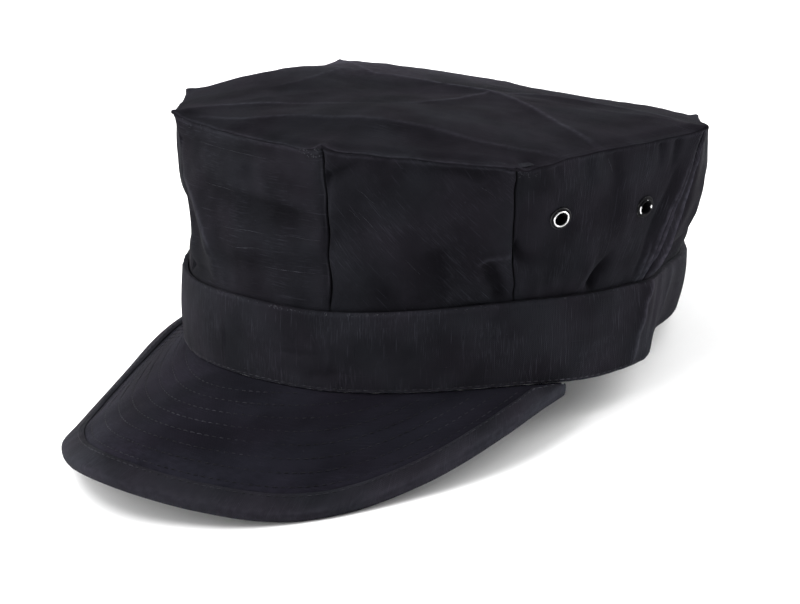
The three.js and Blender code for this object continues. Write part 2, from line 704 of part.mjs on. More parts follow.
// Cloth below the floor is pressed flat on it.
function pressOn(floor, mesh) {
  const places = mesh.geometry.attributes.position;
  const p = new THREE.Vector3();
  for (let j = 0; j < places.count; j += 1) {
    p.fromBufferAttribute(places, j);
    const under = floor.distanceToPoint(p);
    if (under < 0) places.setXYZ(j, ...p.addScaledVector(floor.normal, -under).toArray());
  }
}

const { tilt, floor } = floorUnder(cap);
floor.constant -= FLOOR_PRESS;
for (const name of ["band", "peak_binding"]) pressOn(floor, cap.getObjectByName(name));
cap.rotation.x = -tilt;

// The origin is on the floor under the middle of the cap's box.
const standing = new THREE.Group();
standing.add(cap);
standing.updateMatrixWorld(true);
const box = new THREE.Box3().setFromObject(standing, true);
const middle = box.getCenter(new THREE.Vector3());
standing.position.set(-middle.x, -middle.y, -box.min.z);

export default standing;
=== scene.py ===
"""The looks of a black eight-pointed patrol cap: ripstop cloth, seams, stitches, bound peak and eyelets.

The cap's shape is worked out in millimetres in its own frame, as in the solids: +X to the wearer's left,
-Y to the front, +Z up, the band's hem at z = 0. Every mesh is then turned to stand on the floor, in metres.
"""

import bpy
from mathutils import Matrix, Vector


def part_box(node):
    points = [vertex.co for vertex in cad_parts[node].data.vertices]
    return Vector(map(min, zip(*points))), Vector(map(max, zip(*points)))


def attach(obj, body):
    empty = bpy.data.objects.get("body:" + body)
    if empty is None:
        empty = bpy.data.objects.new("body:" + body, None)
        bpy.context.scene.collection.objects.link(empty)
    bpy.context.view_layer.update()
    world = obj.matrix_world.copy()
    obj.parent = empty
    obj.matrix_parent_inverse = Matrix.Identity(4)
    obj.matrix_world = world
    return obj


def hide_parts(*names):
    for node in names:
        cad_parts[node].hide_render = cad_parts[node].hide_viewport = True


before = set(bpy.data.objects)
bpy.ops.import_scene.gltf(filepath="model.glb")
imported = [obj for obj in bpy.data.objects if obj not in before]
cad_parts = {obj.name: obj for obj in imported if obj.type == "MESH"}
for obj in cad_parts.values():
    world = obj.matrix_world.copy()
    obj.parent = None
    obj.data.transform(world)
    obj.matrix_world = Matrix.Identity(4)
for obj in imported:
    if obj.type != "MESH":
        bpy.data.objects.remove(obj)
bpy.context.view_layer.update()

from collections import namedtuple
from math import cos, pi, radians, sin

import bpy
import numpy as np
from mathutils import Matrix, Vector

MM = 0.001


def table(columns, rows):
    row = namedtuple("Row", columns)
    return [row(*values) for values in rows]


# Driving sizes, as in the solids
BAND_LENGTH = 208
BAND_WIDTH = 175
BAND_HEIGHT = 29
BAND_WALL = 2
BAND_ROUND = 0.7
BAND_WAVE = 1.6
CROWN_HEIGHT = 83
CROWN_WALL = 1.2
CROWN_TUCK = 6
CROWN_SEAT = 0.5
TOP_LENGTH = 192
TOP_WIDTH = 200
TOP_DOME = 5
TOP_OVERHANG = 0.5
FOLD_DEPTH = 3
PANEL_PUFF = 3
SEAM_WIDTH = 2.2
PEAK_REACH = 66
PEAK_HALF_ANGLE = 79
PEAK_THICK = 2.4
BINDING_WIDTH = 10.5
BINDING_WALL = 1
EYELET_HOLE = 4.6
EYELET_FLANGE = 8.2
GAP = 0.3
FLOOR_PRESS = 0.8
PANEL_HEIGHT = CROWN_HEIGHT - BAND_HEIGHT

# Sizes of the fine work, which the solids leave out
CLOTH_STEP = 0.8  # between the points of a cloth mesh, and three times finer within EDGE_FINE of its seams
EDGE_FINE = 4.5
SEAM_DRAW = 0.6  # how far a seam draws the cloth in over SEAM_WIDTH, and how far its very edge turns in
SEAM_ROLL = 0.75
SEAM_WAVER = 1.0  # how far a seam strays to each side of its line
SEAM_TURN = 3.5  # the sewn edges that stand inwards along a seam
TURN_THICK = 0.55
TOP_GAP = 0.03  # between the panels' upper edges and the top
CREST_WIDE = 0.9  # the lighter line along a sharp fold, worn and a painted highlight
PAINTED_SHADE_DEPTH = 3.0  # the depth at which a fold's painted shade is darkest
EDGE_OVERHANG = 0.1  # the top's edge beyond the panels', and how much further it goes at a corner
EDGE_TIP = 0.5
EYELET_ROLL = 0.36  # the radius of the rolled rim round an eyelet's hole
STITCH_PITCH = 2.8
STITCH_LONG = 2.0
STITCH_THICK = 0.36
ROW_DEPTH = 0.16  # how far a row of stitches draws the cloth in
HEM_ROW = 0.9  # the height of the band's stitches above its hem
TOP_PAINTED_LIGHT = 2.3  # painted highlights: how much lighter the top is towards its back right corner, and the peak towards its edge
PEAK_PAINTED_LIGHT = 0.5
BINDING_PAINTED_RIM = 0.5  # how much lighter the binding is painted at its outer edge, a painted highlight, and how far in from it
BINDING_PAINTED_RIM_WIDE = 4
PEAK_ROW_STEP = 6.2  # between the peak's rows of stitches
PEAK_ROWS = [BINDING_WIDTH + 3 + PEAK_ROW_STEP * n for n in range(8)]  # how far each is from the outer edge
BINDING_ROW = 0.82  # where the binding's row of stitches is, as a share of its width
PULLED_THICK = 0.09  # half of a pulled thread's thickness
CLOTH_SHIFT = 37  # how far apart the panels lie on the cloth that they are cut from
CURVE_STEPS = 3  # the straight parts that a fold's path has from one of its points to the next
BAND_STEPS = 760  # the points round the band, and so on for the other pieces
EYELET_STEPS = 64
PEAK_STEPS = 300
PEAK_STEPS_OUT = 80
BINDING_STEPS = 420
BINDING_TOP_STEPS = 14

CORNERS = table("across back rise seam flare", [
    (-0.424, -0.98, 1.02, -24, 1.5),
    (0.42, -0.98, 1.02, 28.5, 1.25),
    (0.93, -0.54, 0.975, 68, 1.25),
    (1.01, 0.35, 1.02, 102, 0.75),
    (0.43, 0.98, 0.875, 152, 0.9),
    (-0.45, 0.98, 0.85, 208, 1),
    (-1, 0.35, 0.995, 258, 1),
    (-0.9, -0.54, 0.97, 292, 1.3),
])

# The panels, which are counted from the front round the wearer's left. grain is the turn of their threads, in
# degrees. dark is how dark the top seam is there, a painted shade, and how far its edge rolls in, and the
# last column is how much lighter the line along that seam is.
PANELS = table("name puff bow sag grain dark worn", [
    ("front", 0.3, 3, 2.5, 0, 0, 0.8),
    ("front_left", 0.9, 1.5, 0.5, -48, 0.1, 0.9),
    ("left", 0.9, 2, 0, 90, 0.8, 0.35),
    ("back_left", 1.1, 6, 0.5, -50, 0.5, 0.4),
    ("back", 0.5, 2, 4, 0, 0.5, 0.4),
    ("back_right", 0.8, 1.5, 0.5, -50, 0.5, 0.4),
    ("right", 0.7, 2, 0.5, 90, 0.5, 0.4),
    ("front_right", 0.6, 1.5, 0.5, -48, 0.5, 0.6),
])

# A fold follows a path of (x, y, depth in mm), inwards on a panel and the band, upwards on the top. left and
# right are how far it fades to each side of the path, in mm. sharp runs from a soft swell, 0, to a crease.
# On a panel x and y are shares of its width and height, on the top of its half width and half length, and on
# the band they are degrees and a share of its height.
FOLDS = table("panel path left right sharp", [
    (0, [(0.3, 0.64, 0.9), (0.5, 0.61, 2.8), (0.8, 0.57, 3), (0.97, 0.56, 1.5)], 3.5, 7, 0.1),
    (0, [(0.02, 0.62, -1.2), (0.15, 0.53, -2.2), (0.27, 0.34, -2), (0.31, 0.2, -0.4)], 5, 12, 0.7),
    (0, [(0.02, 0.5, 1.8), (0.12, 0.3, 2.4), (0.2, 0.05, 0.8)], 7, 7, 0),
    (0, [(0.3, 0.2, 1), (0.5, 0.2, 1.7), (0.75, 0.26, 1.2), (0.97, 0.27, 1.4)], 3, 6, 0.1),
    (0, [(0.04, 0.86, 1.4), (0.4, 0.9, 1.7), (0.75, 0.93, 1), (0.95, 0.94, 0.4)], 2.5, 4, 0.2),
    (0, [(0.02, 0.03, 1.8), (0.3, 0.02, 1.5), (0.5, 0, 0.6)], 3, 3, 0),
    (0, [(0.55, 0.8, 0.9), (0.85, 0.74, 1.2), (1, 0.73, 0.9)], 3, 4, 0.1),
    (1, [(0, 0.83, 2.1), (0.1, 0.9, 2.2), (0.22, 0.965, 0.4)], 2, 3.5, 0.5),
    (1, [(0.84, 0.34, 0.3), (0.87, 0.26, 3), (0.91, 0.12, 3.3), (0.93, 0, 1.5)], 2.6, 3.4, 0.1),
    (1, [(0.78, 0.28, 0), (0.86, 0.33, -1.4), (1, 0.35, -0.9)], 1.5, 2.5, 0.6),
    (1, [(0.585, 0.46, 0.3), (0.6, 0.36, 1.8), (0.63, 0.14, 1.5)], 3, 7, 0),
    (1, [(0.26, 0.24, 0.2), (0.31, 0.14, 1.8), (0.3, 0.04, 1)], 5, 4, 0),
    (1, [(0.7, 0.92, -0.4), (0.8, 0.88, -1.4), (0.88, 0.91, -0.3)], 3, 3, 0.2),
    (1, [(0.45, 0.94, 0.9), (0.65, 0.96, 1.4), (0.95, 0.96, 0.8)], 2, 3, 0.1),
    (2, [(0, 0.42, 2.4), (0.04, 0.34, 2.7), (0.09, 0.27, 0.8)], 2.5, 3, 0.3),
    (2, [(0.02, 0.4, 0.4), (0.13, 0.22, -0.8), (0.2, 0.1, 0)], 4, 4, 0.2),
    (2, [(0.54, -0.02, 3.6), (0.56, 0.1, 3.9), (0.585, 0.2, 2.4), (0.6, 0.31, 0)], 3.6, 2.6, 0.2),
    (2, [(0.42, -0.02, -0.9), (0.46, 0.18, -1.2), (0.5, 0.34, 0)], 5, 3, 0.3),
    (2, [(0.5, 0.98, 1.4), (0.53, 0.82, 1.5), (0.55, 0.55, 0.6), (0.52, 0.35, 0.2)], 2.5, 5, 0.1),
    (2, [(0.76, 0.98, 1.7), (0.77, 0.86, 0.4)], 1.6, 2, 0.3),
    (2, [(0.86, 0.98, 1.8), (0.86, 0.82, 0.6)], 1.6, 2, 0.3),
    (2, [(0.9, 0.75, 1.2), (0.86, 0.45, 1.4), (0.88, 0.1, 0.9)], 2.5, 3, 0.3),
    (2, [(0.2, 0.98, 0.9), (0.22, 0.85, 0.3)], 1.6, 2, 0.2),
    (2, [(0.36, 0.98, 0.9), (0.37, 0.88, 0.3)], 1.8, 2, 0.2),
    (3, [(0.1, 0.85, 1.8), (0.12, 0.5, 2.4), (0.16, 0.1, 1.5)], 3, 4, 0.4),
    (3, [(0.25, 0.05, 3), (0.6, 0.3, 3)], 6, 6, 0.1),
    (3, [(0.3, 0.9, 0.9), (0.35, 0.5, -1.2), (0.34, 0.2, -0.9)], 4, 4, 0.5),
    (4, [(0.15, 0.52, 2.1), (0.5, 0.46, 3), (0.85, 0.42, 1.8)], 4, 8, 0.1),
    (4, [(0.7, 0.03, 2.4), (0.62, 0.3, 2.1)], 4, 5, 0.1),
    (4, [(0.25, 0.02, 1.5), (0.3, 0.22, 1.2)], 3, 4, 0.1),
    (5, [(0.45, 0.02, 3), (0.35, 0.35, 3)], 5, 6, 0.1),
    (5, [(0.75, 0.05, 1.8), (0.7, 0.5, 1.4)], 3, 5, 0.3),
    (6, [(0.25, 0.02, 2.7), (0.35, 0.28, 2.4)], 4, 6, 0.1),
    (6, [(0.75, 0.1, 2.2), (0.7, 0.3, 2.2)], 5, 6, 0.1),
    (6, [(0.45, 0.98, 1.4), (0.48, 0.7, 0.9)], 2.5, 4, 0.1),
    (7, [(0.2, 0.3, 3.3), (0.6, 0.33, 4.5), (1, 0.36, 3.9)], 7, 9, 0),
    (2, [(1, 0.97, -0.3), (0.985, 0.6, -0.9), (0.975, 0.3, -1.5), (0.985, 0, -0.8)], 0.9, 0.9, 0.9),
    (2, [(0.965, 0.8, 0), (0.945, 0.5, -1.2), (0.94, 0.22, -1.5), (0.96, 0.02, -0.8)], 0.9, 1.1, 0.9),
    (2, [(0.9, 0.32, 0), (0.905, 0.16, -1), (0.93, 0, -0.7)], 1.1, 1.2, 0.8),
    (3, [(0.02, 0.9, -0.4), (0.05, 0.55, -1.3), (0.055, 0.25, -1.6), (0.03, 0.02, -0.7)], 1, 1.1, 0.9),
    (3, [(0.09, 0.5, 0), (0.115, 0.3, -1.3), (0.12, 0.05, -1.3)], 1.4, 1.5, 0.9),
])

HUMPS = table("across back high wide", [
    (-0.7, -0.32, 1.7, 0.36),
    (-0.4, 0.2, 0.4, 0.4),
    (0.25, -0.5, 0.35, 0.35),
    (0.5, 0.5, -0.35, 0.4),
    (-0.15, 0.7, -0.3, 0.35),
])
TOP_FOLDS = table("path left right sharp", [
    ([(-1, 0.33, 0.8), (-0.6, 0.06, 0.9), (-0.33, -0.08, 1.2), (-0.21, -0.03, 1.6), (-0.01, 0, 2),
      (0.2, 0.06, 2.3), (0.47, -0.01, 2.1), (0.7, -0.09, 1.8), (0.87, -0.14, 1.4),
      (0.99, -0.16, 0.4)], 16, 8, 0.9),
    ([(-0.42, -0.97, 0.5), (-0.35, -0.84, 1.2), (-0.25, -0.73, 1.5), (-0.11, -0.63, 1.2), (0.02, -0.55, 0.9),
      (0.12, -0.46, 0.5), (0.2, -0.34, 0.8), (0.22, -0.2, 1.4), (0.2, 0.05, 1.6)], 12, 8, 0.9),
    ([(0.2, 0.05, 1.6), (0.35, 0.24, 2), (0.6, 0.33, 2), (0.85, 0.36, 1.6), (1, 0.35, 0.3)], 14, 9, 0.9),
    ([(-0.4, -0.97, 0), (-0.2, -0.93, 1.4), (-0.05, -0.88, 3.2), (0.1, -0.79, 3.9), (0.28, -0.72, 4.1),
      (0.4, -0.64, 4), (0.52, -0.57, 3.7), (0.66, -0.52, 3), (0.83, -0.44, 1.8),
      (0.95, -0.3, 0.5)], 26, 6, 0.6),
    ([(-0.43, -0.15, 1.1), (-0.38, -0.32, 1.3), (-0.37, -0.43, 1), (-0.41, -0.55, 0.2)], 9, 9, 0.7),
])

BAND_EDGES = table("angle upper lower tuck", [
    (0, -0.6, -0.2, 0.1),
    (28, -1.2, -0.6, 0.1),
    (66, 0.6, 0, 0.1),
    (88, 0, -1.5, 0.1),
    (102, -0.3, -0.6, 0.1),
    (112, -0.3, 1.2, 3),
    (125, -0.1, 2, 3.2),
    (142, 0, 2.4, 1.2),
    (157, 0, 0.9, 0.3),
    (169, 0, 0, 0.1),
    (180, 0, 0, 0.1),
])
BAND_FOLDS = table("angle deep wide", [
    (14, 0.2, 9),
    (104, -0.5, 5),
    (118, 0.8, 9),
    (145, 0.8, 16),
    (244, 0.5, 8),
    (256, -0.3, 6),
])
# Where the top seam strays from its line, in mm: at s along a panel's upper edge, up and outwards, over wide
STRAYS = table("panel s up out wide", [
    (0, 0, 0.6, 0.3, 4),
    (0, 0.86, -0.5, 0, 5),
    (0, 1, 0.9, 0.3, 3),
    (1, 0, 0.9, 0.3, 3),
    (1, 0.3, 0.3, 0.2, 9),
    (1, 1, -0.7, 0.1, 3),
    (2, 0.05, -1.5, 0.3, 4.5),
    (2, 0.15, -1.1, 0.2, 6),
    (2, 1, 0.9, 0.6, 4),
    (3, 0, 0.9, 0.6, 4),
    (3, 1, 0.9, 1, 10),
    (4, 0, 0.9, 1, 10),
    (5, 1, 1, 0.5, 13),
    (6, 0, 1, 0.5, 13),
    (6, 1, 1.3, 0.8, 10),
    (7, 0, 1.3, 0.8, 10),
    (7, 1, 0.6, 0.3, 4),
])

BAND_CREASES = table("path left right sharp", [
    ([(97.6, -0.05, -0.7), (98.3, 0.2, -1.3), (98.9, 0.4, -1.5), (100.4, 0.55, -1.5),
      (101, 0.75, -1.6), (103.2, 0.9, -1.4), (104.2, 1.02, -0.9)], 3.4, 2, 0.9),
    ([(109, 0, -0.4), (112, 0.4, -1), (117, 0.8, -0.8), (119, 1, -0.2)], 4, 5, 0.7),
    ([(103, 0.2, 0.6), (106, 0.6, 1.1), (108, 0.95, 0.5)], 4, 3, 0.2),
    ([(15, 0.46, 0.2), (20, 0.43, 0.7), (27, 0.46, 0.3)], 1.6, 2.2, 0.4),
    ([(25, 0.18, 0.6), (32, 0.24, 0.4)], 1.5, 2, 0.4),
    ([(28, 0.75, -0.4), (29, 0.45, -0.5), (28, 0.25, -0.2)], 1.5, 2.5, 0.4),
    ([(56, 0.63, 0.2), (62, 0.58, 0.6), (68, 0.6, 0.2)], 1.5, 2, 0.4),
    ([(-6, 0.5, 0.4), (3, 0.42, 0.6), (9, 0.3, 0.3)], 4, 6, 0.1),
    ([(200, 0.1, 0.8), (206, 0.5, 1), (204, 0.9, 0.5)], 4, 5, 0.2),
    ([(250, 0.1, 0.6), (255, 0.6, 0.9), (258, 0.95, 0.3)], 4, 4, 0.2),
    ([(300, 0.5, 0.7), (318, 0.45, 0.4)], 3, 4, 0.2),
])
BAND_OPEN = -12  # where the band's upper edge stands off the crown, and over how many degrees
BAND_OPEN_WIDE = 18
DEGREE = 1.68  # the length of a degree round the band, in mm
BAND_SECTION = table("high swell", [(0, 0), (0.35, 1), (0.7, 0.9), (1, 0)])

PEAK_LINES = table("place reach fall turn", [
    (0, 1, 22.3, 0),
    (0.235, 0.92, 29.2, 11.8),
    (0.47, 0.79, 38.4, 22.5),
    (0.655, 0.575, 39.2, 34.6),
    (0.8, 0.365, 30.1, 49.3),
    (0.93, 0.165, 20, 62),
    (1, 0.07, 10, 70),
])

EYELETS = table("name s v", [("front", 0.235, 0.6), ("rear", 0.735, 0.575)])
EYELET_PANELS = {2: False, 6: True}  # True where s runs from back to front


# Small helpers
def mix(a, b, t):
    return a + (b - a) * t


def bell(x):
    return np.exp(-x * x)


def smoothstep(x, low, high):
    t = np.clip((x - low) / (high - low), 0, 1)
    return t * t * (3 - 2 * t)


def apart(a, b):
    return np.abs(np.mod(a - b + 180, 360) - 180)


def unit(v):
    return v / np.linalg.norm(v, axis=-1, keepdims=True)


def column(rows, name, x):
    """A smooth curve of a column over a table's first. It starts level, or on its way if it starts at 0."""
    at = np.array([row[0] for row in rows], float)
    y = np.array([getattr(row, name) for row in rows], float)
    slope = np.gradient(y, at)
    slope[1:-1] = (y[2:] - y[:-2]) / (at[2:] - at[:-2])
    if y[0] != 0:
        slope[0] = 0
    x = np.clip(x, at[0], at[-1])
    i = np.clip(np.searchsorted(at, x) - 1, 0, len(at) - 2)
    span = at[i + 1] - at[i]
    t = (x - at[i]) / span
    return (
        y[i] * (2 * t**3 - 3 * t**2 + 1)
        + slope[i] * span * (t**3 - 2 * t**2 + t)
        + y[i + 1] * (3 * t**2 - 2 * t**3)
        + slope[i + 1] * span * (t**3 - t**2)
    )


def curved(fold):
    """The same fold on a smooth curve through the points of its path."""
    points = np.array(fold.path, float)
    ends = np.concatenate([[2 * points[0] - points[1]], points, [2 * points[-1] - points[-2]]])
    path = []
    for a, b, c, d in zip(ends, ends[1:], ends[2:], ends[3:]):
        for t in np.arange(CURVE_STEPS) / CURVE_STEPS:
            square, cube = 2 * a - 5 * b + 4 * c - d, 3 * b - a - 3 * c + d
            path.append(0.5 * (2 * b + (c - a) * t + square * t**2 + cube * t**3))
    return fold._replace(path=[tuple(point) for point in [*path, points[-1]]])


def nearest(x, y, fold, across, down):
    """How far places are from a fold's path, the fold's height there, and whether they are on its left."""
    best = np.full(np.broadcast(x, y).shape, np.inf)
    high, on_left = np.zeros_like(best), np.zeros(best.shape, bool)
    for (x0, y0, high0), (x1, y1, high1) in zip(fold.path, fold.path[1:]):
        dx, dy = (x1 - x0) * across, (y1 - y0) * down
        ox, oy = (x - x0) * across, (y - y0) * down
        k = np.clip((ox * dx + oy * dy) / (dx * dx + dy * dy), 0, 1)
        away = np.hypot(ox - k * dx, oy - k * dy)
        closer = away < best
        best = np.where(closer, away, best)
        high = np.where(closer, mix(high0, high1, k), high)
        on_left = np.where(closer, dx * oy - dy * ox > 0, on_left)
    return best, high, on_left


def near_path(x, y, fold, across, down):
    """A fold's height at points of a surface, whose shares of size are across and down millimetres long."""
    away, high, on_left = nearest(x, y, fold, across, down)
    t = np.sqrt((away / np.where(on_left, fold.left, fold.right)) ** 2 + 0.004)
    return high * mix(bell(t), np.exp(-1.5 * t), fold.sharp)


def crest_wear_and_highlight(x, y, folds, across, down, outwards):
    """How much lighter the cloth is on the sharper folds' crests, by wear and a painted highlight. outwards
    is the sign of a fold that stands out.
    """
    worn = np.zeros(np.broadcast(x, y).shape)
    for fold in folds:
        away, high, _ = nearest(x, y, fold, across, down)
        worn = np.maximum(worn, bell(away / CREST_WIDE) * np.clip(high * outwards, 0, 1.5) * fold.sharp)
    return worn


def painted_shade_in_folds(x, y, folds, across, down):
    """Painted shade for the folds: how deep in a fold the cloth lies, as a share of the depth at which that
    shade is darkest.
    """
    deep = [np.clip(near_path(x, y, fold, across, down), 0, None) for fold in folds]
    return np.clip(np.max(deep, axis=0) / PAINTED_SHADE_DEPTH, 0, 1)


def ripple(x, y, size, seed):
    """A smooth uneven surface about 1 high, whose waves are about size long."""
    draws = np.random.default_rng(seed)
    total = 0
    for _ in range(8):
        turn = draws.uniform(0, 2 * pi)
        wave = size * draws.uniform(0.7, 1.6)
        phase = draws.uniform(0, 2 * pi)
        total = total + np.sin(2 * pi * (x * cos(turn) + y * sin(turn)) / wave + phase)
    return total / 4


FOLDS = [curved(fold) for fold in FOLDS]
TOP_FOLDS = [curved(fold) for fold in TOP_FOLDS]
BAND_CREASES = [curved(fold) for fold in BAND_CREASES]


# The band's and the crown's surfaces
def oval(angle, inset, z):
    deep = inset
    for fold in BAND_FOLDS:
        deep = deep + FOLD_DEPTH * fold.deep * bell(apart(angle, fold.angle) / fold.wide)
    turn = np.radians(angle)
    return np.stack([(BAND_WIDTH / 2 - deep) * np.sin(turn), -(BAND_LENGTH / 2 - deep) * np.cos(turn), z], -1)


def band_point(angle, high, inset):
    def wave(value):
        return BAND_WAVE * column(BAND_EDGES, value, apart(angle, 0))

    tuck = wave("tuck") * np.clip(1 - high, 0, 1) ** 1.5
    return oval(angle, inset + tuck, mix(wave("lower"), BAND_HEIGHT + wave("upper"), high))


def corner_point(i):
    corner = CORNERS[i % 8]
    return np.array([corner.across * TOP_WIDTH / 2, corner.back * TOP_LENGTH / 2, corner.rise * CROWN_HEIGHT])


def panel_width(i):
    return float(np.linalg.norm(corner_point(i + 1) - corner_point(i)))


def top_seam(i, s):
    start, end = corner_point(i), corner_point(i + 1)
    out = unit(np.array([end[1] - start[1], start[0] - end[0]]))
    swing = 4 * s * (1 - s) * TOP_OVERHANG
    bulge = np.array([*out * PANELS[i].bow, -PANELS[i].sag])
    return start + (end - start) * s[..., None] + bulge * swing[..., None]


def plain_wall(i, s, v):
    near, far = CORNERS[i], CORNERS[(i + 1) % 8]
    angle = mix(near.seam, far.seam + (360 if far.seam < near.seam else 0), s)
    tail = band_point(angle, 1 + v * PANEL_HEIGHT / BAND_HEIGHT, BAND_WALL + CROWN_SEAT)
    low = band_point(angle, np.ones_like(v), BAND_WALL + CROWN_SEAT)
    high = top_seam(i, s)
    flare = np.maximum(v, 0) ** mix(near.flare, far.flare, s)
    body = mix(low, high, np.stack([flare, flare, v], -1))
    return np.where(v[..., None] < 0, tail, body)


def normal_of(surface, i, s, v, step=0.012):
    along = surface(i, s + step, v) - surface(i, s - step, v)
    up = surface(i, s, v + step) - surface(i, s, v - step)
    return unit(np.cross(along, up))


def relief(i, s, v):
    """How far the cloth stands out of the plain wall, in its larger forms."""
    width = panel_width(i)
    inside = np.clip(s, 0, 1)
    out = PANEL_PUFF * PANELS[i].puff * np.sin(pi * inside) * np.sin(pi * np.clip(v, 0, 1))
    for fold in FOLDS:
        if fold.panel == i:
            fade = smoothstep(np.sin(pi * inside), 0, 0.06)
            out = out - near_path(s, v, fold, width, PANEL_HEIGHT) * fade
    out = out - SEAM_DRAW * bell(np.minimum(s, 1 - s) * width / SEAM_WIDTH)
    return out * smoothstep(1 - v, 0, 0.04) * smoothstep(v, 0, 0.07)


def fine_relief(i, s, v):
    """The small unevenness of sewn cloth: puckers along the seams and a soft drape between them."""
    width = panel_width(i)
    x, y = s * width, v * PANEL_HEIGHT
    to_seam = np.minimum(x, width - x)
    to_top = (1 - v) * PANEL_HEIGHT
    out = 0.45 * ripple(x, y, 24, 11 + i) + 0.14 * ripple(x, y, 9, 31 + i)
    out = out + 0.25 * ripple(x * 0.3, y, 7, 51 + i) * np.exp(-to_seam / 5)
    out = out + 0.3 * ripple(x, y * 0.2, 11, 71 + i) * np.exp(-np.abs(y) / 9)
    out = out + 0.2 * ripple(x, y * 0.3, 7, 91 + i) * np.exp(-to_top / 5)
    top_roll = 0.3 * PANELS[i].dark * bell(to_top / 0.5) * smoothstep(to_seam, 0, 1)
    out = out * smoothstep(to_seam, 0, 2) - SEAM_ROLL * (bell(to_seam / 0.38) + top_roll)
    return out * smoothstep(y, 0.3, 3)


def wall(i, s, v):
    return plain_wall(i, s, v) + normal_of(plain_wall, i, s, v) * relief(i, s, v)[..., None]


def seam_normal(i, s, v):
    """A panel's normal, turned near a seam to halfway between its own and its neighbour's."""
    own = normal_of(plain_wall, i, s, v)
    width = panel_width(i)
    first, last = 0 * s, 0 * s + 1
    start = normal_of(plain_wall, i, first, v) + normal_of(plain_wall, (i - 1) % 8, last, v)
    end = normal_of(plain_wall, i, last, v) + normal_of(plain_wall, (i + 1) % 8, first, v)
    near_start = bell(s * width / 3.5)[..., None]
    near_end = bell((1 - s) * width / 3.5)[..., None]
    return unit(mix(mix(own, unit(start), near_start), unit(end), near_end))


def seam_waver(i, s, v):
    """How far a panel's cloth moves sideways with the wavering lines of its two seams."""
    width = panel_width(i)
    y = v * PANEL_HEIGHT
    fade = smoothstep(v, 0.0, 0.12) * smoothstep(1 - v, 0, 0.1) * SEAM_WAVER
    start = ripple(0 * y, y, 17, 200 + i) * bell(s * width / 8)
    end = ripple(0 * y, y, 17, 200 + (i + 1) % 8) * bell((1 - s) * width / 8)
    return (start + end) * fade


def seam_stray(i, s):
    """How far the top seam of panel i is from its plain line."""
    width = panel_width(i)
    out = unit(top_seam(i, s)[..., :2])
    shift = np.zeros(np.shape(s) + (3,))
    for stray in STRAYS:
        if stray.panel == i:
            share = bell((s - stray.s) * width / stray.wide)
            shift[..., :2] += out * (stray.out * share)[..., None]
            shift[..., 2] += stray.up * share
    shift[..., 2] += 0.25 * ripple(s * width, 0 * s, 13, 300 + i) * np.sin(pi * np.clip(s, 0, 1))
    return shift


def fine_wall(i, s, v):
    along = unit(plain_wall(i, 1 + 0 * s, v) - plain_wall(i, 0 * s, v))
    out = (relief(i, s, v) + fine_relief(i, s, v))[..., None]
    stray = seam_stray(i, s) * (smoothstep(v, 0.72, 1.0) ** 2)[..., None]
    return plain_wall(i, s, v) + seam_normal(i, s, v) * out + along * seam_waver(i, s, v)[..., None] + stray


def top_point(i, s, k):
    """The top's under side: i and s run round its seam, k from its middle to its edge."""
    seam = top_seam(i, s)
    to_tip = np.minimum(s, 1 - s) * panel_width(i)
    reach = EDGE_OVERHANG + EDGE_TIP * bell(to_tip / 2)
    length = np.linalg.norm(seam[..., :2], axis=-1)
    flat = seam[..., :2] * ((length + reach) / length)[..., None]
    x, y = flat[..., 0] * k, flat[..., 1] * k
    rim = 1 - k**3
    z = mix(CROWN_HEIGHT, seam[..., 2], k * k) + TOP_DOME * rim
    across, back = 2 * x / TOP_WIDTH, 2 * y / TOP_LENGTH
    for hump in HUMPS:
        away = np.hypot(across - hump.across, back - hump.back)
        z = z + TOP_DOME * hump.high * rim * bell(away / hump.wide)
    folds = [near_path(across, back, fold, TOP_WIDTH / 2, TOP_LENGTH / 2) for fold in TOP_FOLDS]
    z = z + np.max(folds, axis=0) * np.sqrt(rim)
    return np.stack([x, y, z], -1)


def peak_line(share):
    """Where the peak's line at a share of its width starts, the way it takes and how long it is."""
    fall, turn, reach = (column(PEAK_LINES, name, np.abs(share)) for name in ("fall", "turn", "reach"))
    fall, turn = np.radians(fall), np.radians(turn) * np.sign(share)
    way = np.stack([np.sin(turn) * np.cos(fall), -np.cos(turn) * np.cos(fall), -np.sin(fall)], -1)
    start = band_point(share * PEAK_HALF_ANGLE, np.zeros_like(share), BAND_WALL / 2)
    start[..., 2] -= GAP
    return start, way, PEAK_REACH * reach


def peak_point(share, out):
    start, way, _ = peak_line(share)
    return start + way * out[..., None]


def peak_normal(share, out, step=0.01):
    along = peak_point(share + step, out) - peak_point(share - step, out)
    return -unit(np.cross(along, peak_line(share)[1]))


def binding_section(width, rounds=0):
    """The binding's section: the way in from the outer edge, and up from the peak's upper face."""
    over, low = GAP + BINDING_WALL, -PEAK_THICK - GAP
    under = low - BINDING_WALL
    middle, half = (over + under) / 2, (over - under) / 2
    if rounds:
        turns = np.linspace(0, pi, rounds)
        nose = [(half * (1 - sin(t)) * 0.55, middle + half * cos(t)) for t in turns]
    else:
        nose = [(0.8, 1), (0.2, 0.6), (0, 0), (0.2, -0.6), (0.8, -1)]
        nose = [(BINDING_WALL * x, middle + half * y) for x, y in nose]
    ends = [(width, under), (width, low), (BINDING_WALL, low), (BINDING_WALL, GAP), (width, GAP)]
    return [(width, over), *nose, *ends]


def binding_points(share, section):
    _, _, reach = peak_line(share)
    width = np.minimum(BINDING_WIDTH, reach - BAND_WALL - GAP)
    rows = []
    for inward, up in section(width):
        out = reach - inward
        rows.append(peak_point(share, out) + peak_normal(share, out) * np.reshape(up, (-1, 1)))
    return np.stack(rows, 1)


